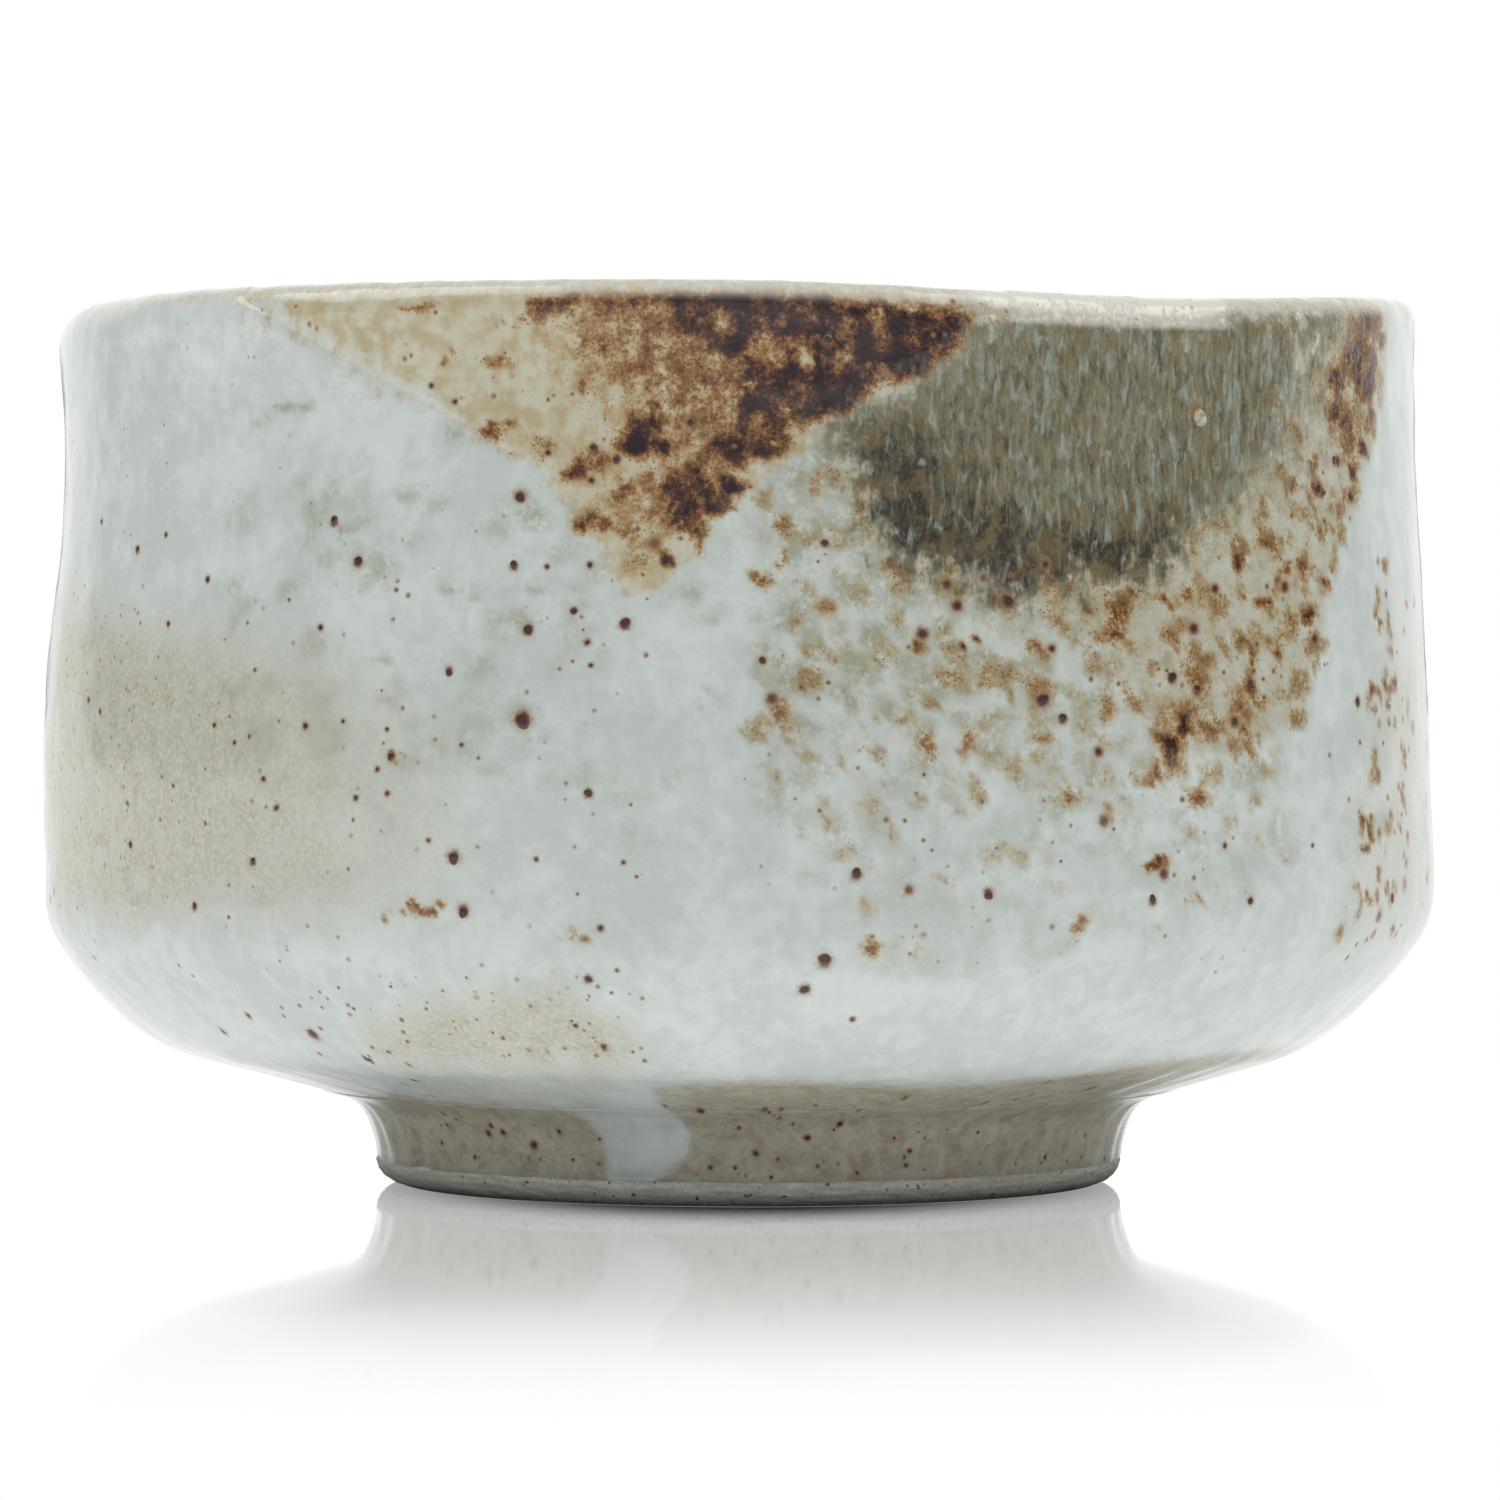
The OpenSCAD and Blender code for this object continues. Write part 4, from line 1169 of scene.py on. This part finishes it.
def build_well_glaze(material):
    surface = well(columns(0.95, 0.95), 0.85)
    keep = spread_rows(len(surface.points), 40)
    under = surface.points[keep] - surface.normals[keep] * 0.4
    surface.lift(skin_noise(surface) * smooth(surface.pattern, 80, 86) * fall(surface.pattern, 150, 172))
    piece = capped("well_glaze_form", np.concatenate([surface.points, under]))
    azimuth = np.concatenate([surface.azimuth, surface.azimuth[keep]])
    pattern = np.concatenate([surface.pattern, surface.pattern[keep]])
    coat = (piece, with_middles(azimuth), with_middles(pattern))
    ship_glaze(coat, "well_glaze", material)


def build_foot_ring():
    """The turned foot: its waist under the glaze, the bare bevel, the worn standing face, and its inside."""
    r, inner = FOOT_R, FOOT_R - 4
    outline = [(RECESS_R - 0.1, FOOT_TOP), (r + 1.2, FOOT_TOP), (r + 1.4, 4), (r + 1.5, BEVEL_Z + 0.35),
               (r + 1.82, BEVEL_Z + 0.05), (r + 1.86, BEVEL_Z - 0.08)]
    outline += [(r + 0.12 + 1.72 * math.sqrt(f * (2 - f)) ** 1.3, 0.16 + (BEVEL_Z - 0.3) * f)
                for f in np.linspace(1, 0, 11)]
    outline += [(r - 0.02, 0.06), (r - 0.25, 0.0), (r - 1, 0.0), (r - 2, 0.0), (r - 3, 0.0),
                (inner + 0.3, 0.0),
                (inner + 0.1, 0.06), (inner - 0.1, 0.2), (inner - 0.6, 0.55), (RECESS_R + 0.05, 0.95),
                (RECESS_R, 1.5), (RECESS_R, BEVEL_Z), (RECESS_R, 4)]
    a = columns(0.8, 1.2)[None, :]
    radius, height = (np.array(outline)[:, k:k + 1] + 0 * a for k in (0, 1))
    bare = smooth(height, 0.05, 0.4) * fall(height, BEVEL_Z - 0.2, BEVEL_Z + 0.2)
    bare *= smooth(radius, r - 1, r)
    radius = radius + bare * (0.05 * ripples(a, height, 7, 16, 51) + 0.03 * ripples(a, 8 * height, 5, 16, 52))
    surface = Surface(a, radius, height, height, FOOT_X)
    rows, count = surface.azimuth.shape
    faces = grid_faces(rows, count, closed_rows=True)
    piece = new_object("foot_ring_form", surface.points.reshape(-1, 3), faces)
    ship(piece, "foot_ring", clay_material("clay"))


def build_foot_glaze(material):
    surface = foot_side(columns(0.8, 1.2), 0.36)
    rim = 0.07 * bump(surface.pattern, BEVEL_Z + 0.25, 0.5)
    tucked = np.zeros((len(surface.pattern), 1))
    tucked[0] = 0.25
    surface.lift(0.6 * skin_noise(surface) * fall(surface.pattern, 7, 8.3) + rim - tucked)
    coat = coat_ring("foot_glaze_form", surface, 0.3, 10)
    ship_glaze(coat, "foot_glaze", material)


def build_foot_well_glaze(material):
    surface = foot_recess(columns(1.2, 1.2), 0.7)
    keep = spread_rows(len(surface.points), 16)
    under = surface.points[keep] - surface.normals[keep] * 0.4
    piece = capped("foot_well_glaze_form", np.concatenate([under, surface.points]))
    azimuth = np.concatenate([surface.azimuth[keep], surface.azimuth])
    pattern = np.concatenate([surface.pattern[keep], surface.pattern])
    coat = (piece, with_middles(azimuth), with_middles(pattern))
    ship_glaze(coat, "foot_well_glaze", material)


def build_white_run(material):
    surface = foot_side(np.arange(-32, -4, 0.5), 0.26)
    a, z = surface.azimuth, surface.pattern
    area = np.minimum(outline_depth(a, z, TONGUE), (z - 2.35) * 1.3)
    ends = fall(z, 7.2, 8.3)
    lift = 0.2 * smooth(area, -0.4, 1.3) * ends - 0.35 * (1 - smooth(area, -0.9, 0.0)) - 0.2 * (1 - ends)
    surface.lift(lift + 0.6 * skin_noise(surface) * ends)
    coat = coat_patch("white_glaze_run_form", surface, 0.15)
    ship_glaze(coat, "white_glaze_run", material)


def build_iron_spots():
    raised = [(a, z, 0.86 * d, 0.05 + 0.02 * d) for a, z, d in SPOTS if d >= 0.7]
    piece = domes("iron_spots_form", raised, lambda share: np.sqrt(np.maximum(0, 1 - share ** 2.4)))
    ship(piece, "iron_spots", iron_material("iron"))


def build_glaze_bead():
    bead = (39.5, 64.8, 1.5, 0.62)
    piece = domes("glaze_bead_form", [bead], lambda share: np.sqrt(np.maximum(0, 1 - share ** 2)))
    ship(piece, "glaze_bead", bead_material("ash_bead"))


# ---------------------------------------------------------------- the table, the lights and the camera
def mixed_shaders(tree, factor, first, second):
    """A node that mixes two shader nodes: the first where the factor is 0, the second where it is 1."""
    node = tree.nodes.new("ShaderNodeMixShader")
    for socket, source in zip(node.inputs, (factor, first.outputs[0], second.outputs[0])):
        tree.links.new(source, socket)
    return node


def table_material():
    """A white glowing table with a clear gloss that mirrors the foot and fades with distance, and a painted
    shadow round the foot.
    """
    material = bpy.data.materials.new("table")
    material.use_nodes = True
    tree = material.node_tree
    tree.nodes.clear()
    geometry = tree.nodes.new("ShaderNodeNewGeometry")
    place = Wire(tree, geometry.outputs["Position"]).vector("MULTIPLY_ADD", (1000, 1000, 0), (-FOOT_X, 0, 0))
    apart = place.vector("LENGTH")
    # The table mirrors only where the mirrored view runs towards the bowl, and most when seen from the front
    view = Wire(tree, geometry.outputs["Incoming"]).vector("MULTIPLY", (1, 1, 0)).vector("NORMALIZE")
    aside = place.vector("CROSS_PRODUCT", view).vector("LENGTH")
    split = tree.nodes.new("ShaderNodeSeparateXYZ")
    tree.links.new(view.socket, split.inputs[0])
    from_front = Wire(tree, split.outputs["Y"]).rise(-0.95, -0.2, 1.0, 0.35)
    fresnel = tree.nodes.new("ShaderNodeFresnel")
    fresnel.inputs["IOR"].default_value = 1.5
    mirror = Wire(tree, fresnel.outputs[0]) * from_front
    mirror = mirror * apart.rise(74, 206, 0.94, 0.0) * aside.rise(56, 76, 1.0, 0.0)
    glow = tree.nodes.new("ShaderNodeEmission")
    glow.inputs["Color"].default_value = (1, 1, 1, 1)
    # The painted shadow round the foot is wide for the light the table throws, and narrow at the sides for
    # the camera
    light_path = tree.nodes.new("ShaderNodeLightPath")
    painted_shadow_seen = place.vector("MULTIPLY", (1.5, 1, 0)).vector("LENGTH").rise(FOOT_R - 1.5, 50, 0.0, 1.0)
    level = painted_shadow_seen * Wire(tree, light_path.outputs["Is Camera Ray"])
    level = level.over(apart.rise(FOOT_R - 1.5, 58, 0.0, 1.0))
    # It glows bright under the ring, as painted light, so that the standing face isn't black from below
    level = level.over(apart.rise(FOOT_R - 1.2, FOOT_R - 0.2, 0.8, 0.0))
    tree.links.new(level.socket, glow.inputs["Strength"])
    gloss = tree.nodes.new("ShaderNodeBsdfGlossy")
    gloss.inputs["Color"].default_value = (1, 1, 1, 1)
    gloss.inputs["Roughness"].default_value = 0.05
    clear = tree.nodes.new("ShaderNodeBsdfTransparent")
    seen = mixed_shaders(tree, mirror.socket, glow, gloss)
    one_sided = mixed_shaders(tree, geometry.outputs["Backfacing"], seen, clear)
    output = tree.nodes.new("ShaderNodeOutputMaterial")
    tree.links.new(one_sided.outputs[0], output.inputs["Surface"])
    return material


def set_table():
    bpy.ops.mesh.primitive_plane_add(size=12, location=(0, 0, -0.03 * MM))
    table = bpy.context.object
    table.name = "table"
    table.data.materials.append(table_material())


def set_world():
    """A white backdrop behind the bowl, dimmer to the sides and in front, and brighter overhead."""
    world = bpy.data.worlds.new("studio")
    bpy.context.scene.world = world
    world.use_nodes = True
    tree = world.node_tree
    tree.nodes.clear()
    coordinates = tree.nodes.new("ShaderNodeTexCoord")
    split = tree.nodes.new("ShaderNodeSeparateXYZ")
    tree.links.new(coordinates.outputs["Generated"], split.inputs[0])
    side, back, up = (Wire(tree, output) for output in split.outputs)
    level = back.rise(-0.9, 0.3, 0.52, 0.62) * (side * side * -0.85 + 1)
    level = level + back.rise(0.66, 0.78, 0.0, 0.5)
    # A dark strip right behind, just above the table, draws a thin line along the bowl's outline
    strip = back.rise(0.966, 0.984, 0.0, 0.75) * up.rise(0.03, 0.05, 1.0, 0.0)
    level = level * (strip * -1.0 + 1.0)
    level = level.over(up.rise(0.3, 0.85, 0.0, 0.6))
    light_path = tree.nodes.new("ShaderNodeLightPath")
    level = level.over(Wire(tree, light_path.outputs["Is Camera Ray"]))
    background = tree.nodes.new("ShaderNodeBackground")
    background.inputs["Color"].default_value = (1, 1, 1, 1)
    tree.links.new(level.socket, background.inputs["Strength"])
    output = tree.nodes.new("ShaderNodeOutputWorld")
    tree.links.new(background.outputs[0], output.inputs["Surface"])


def add_softbox(side):
    """A soft box up on one side, -1 for the left or +1 for the right. The lip mirrors it as a bright line."""
    data = bpy.data.lights.new("softbox", "AREA")
    data.shape = "RECTANGLE"
    data.size, data.size_y = 0.45, 0.5
    data.energy = 1.9
    light = bpy.data.objects.new("softbox", data)
    away = Vector((side * 0.62, -0.06, 0.76)).normalized()
    along = Vector((side * -0.3, 0.86, 0.41))
    along = (along - along.dot(away) * away).normalized()
    lip = Vector((side * 0.03, -0.05, 0.075))
    axes = Matrix((along.cross(away), along, away)).transposed()
    light.matrix_world = Matrix.Translation(lip + 0.75 * away) @ axes.to_4x4()
    bpy.context.collection.objects.link(light)


def add_camera():
    data = bpy.data.cameras.new("camera")
    data.sensor_width = 36
    data.lens = 177.8
    camera = bpy.data.objects.new("camera", data)
    target = Vector((0.0012, 0, 0.0373))
    camera.location = (0.0012, -0.642, 0.0475)
    camera.rotation_euler = (target - camera.location).to_track_quat("-Z", "Y").to_euler()
    bpy.context.collection.objects.link(camera)
    bpy.context.scene.camera = camera


build_clay_body()
build_base_glaze()
build_white_glaze(glaze_material("white_glaze"))
build_rust_glaze(glaze_material("rust_glaze"))
build_ash_glaze(glaze_material("ash_glaze"))
build_well_glaze(glaze_material("well_glaze"))
build_foot_ring()
build_foot_glaze(glaze_material("foot_glaze"))
build_foot_well_glaze(glaze_material("foot_well_glaze"))
build_white_run(glaze_material("white_glaze_run"))
build_iron_spots()
build_glaze_bead()
set_table()
set_world()
for side in (-1, 1):
    add_softbox(side)
add_camera()
bpy.context.scene.view_settings.view_transform = "Standard"
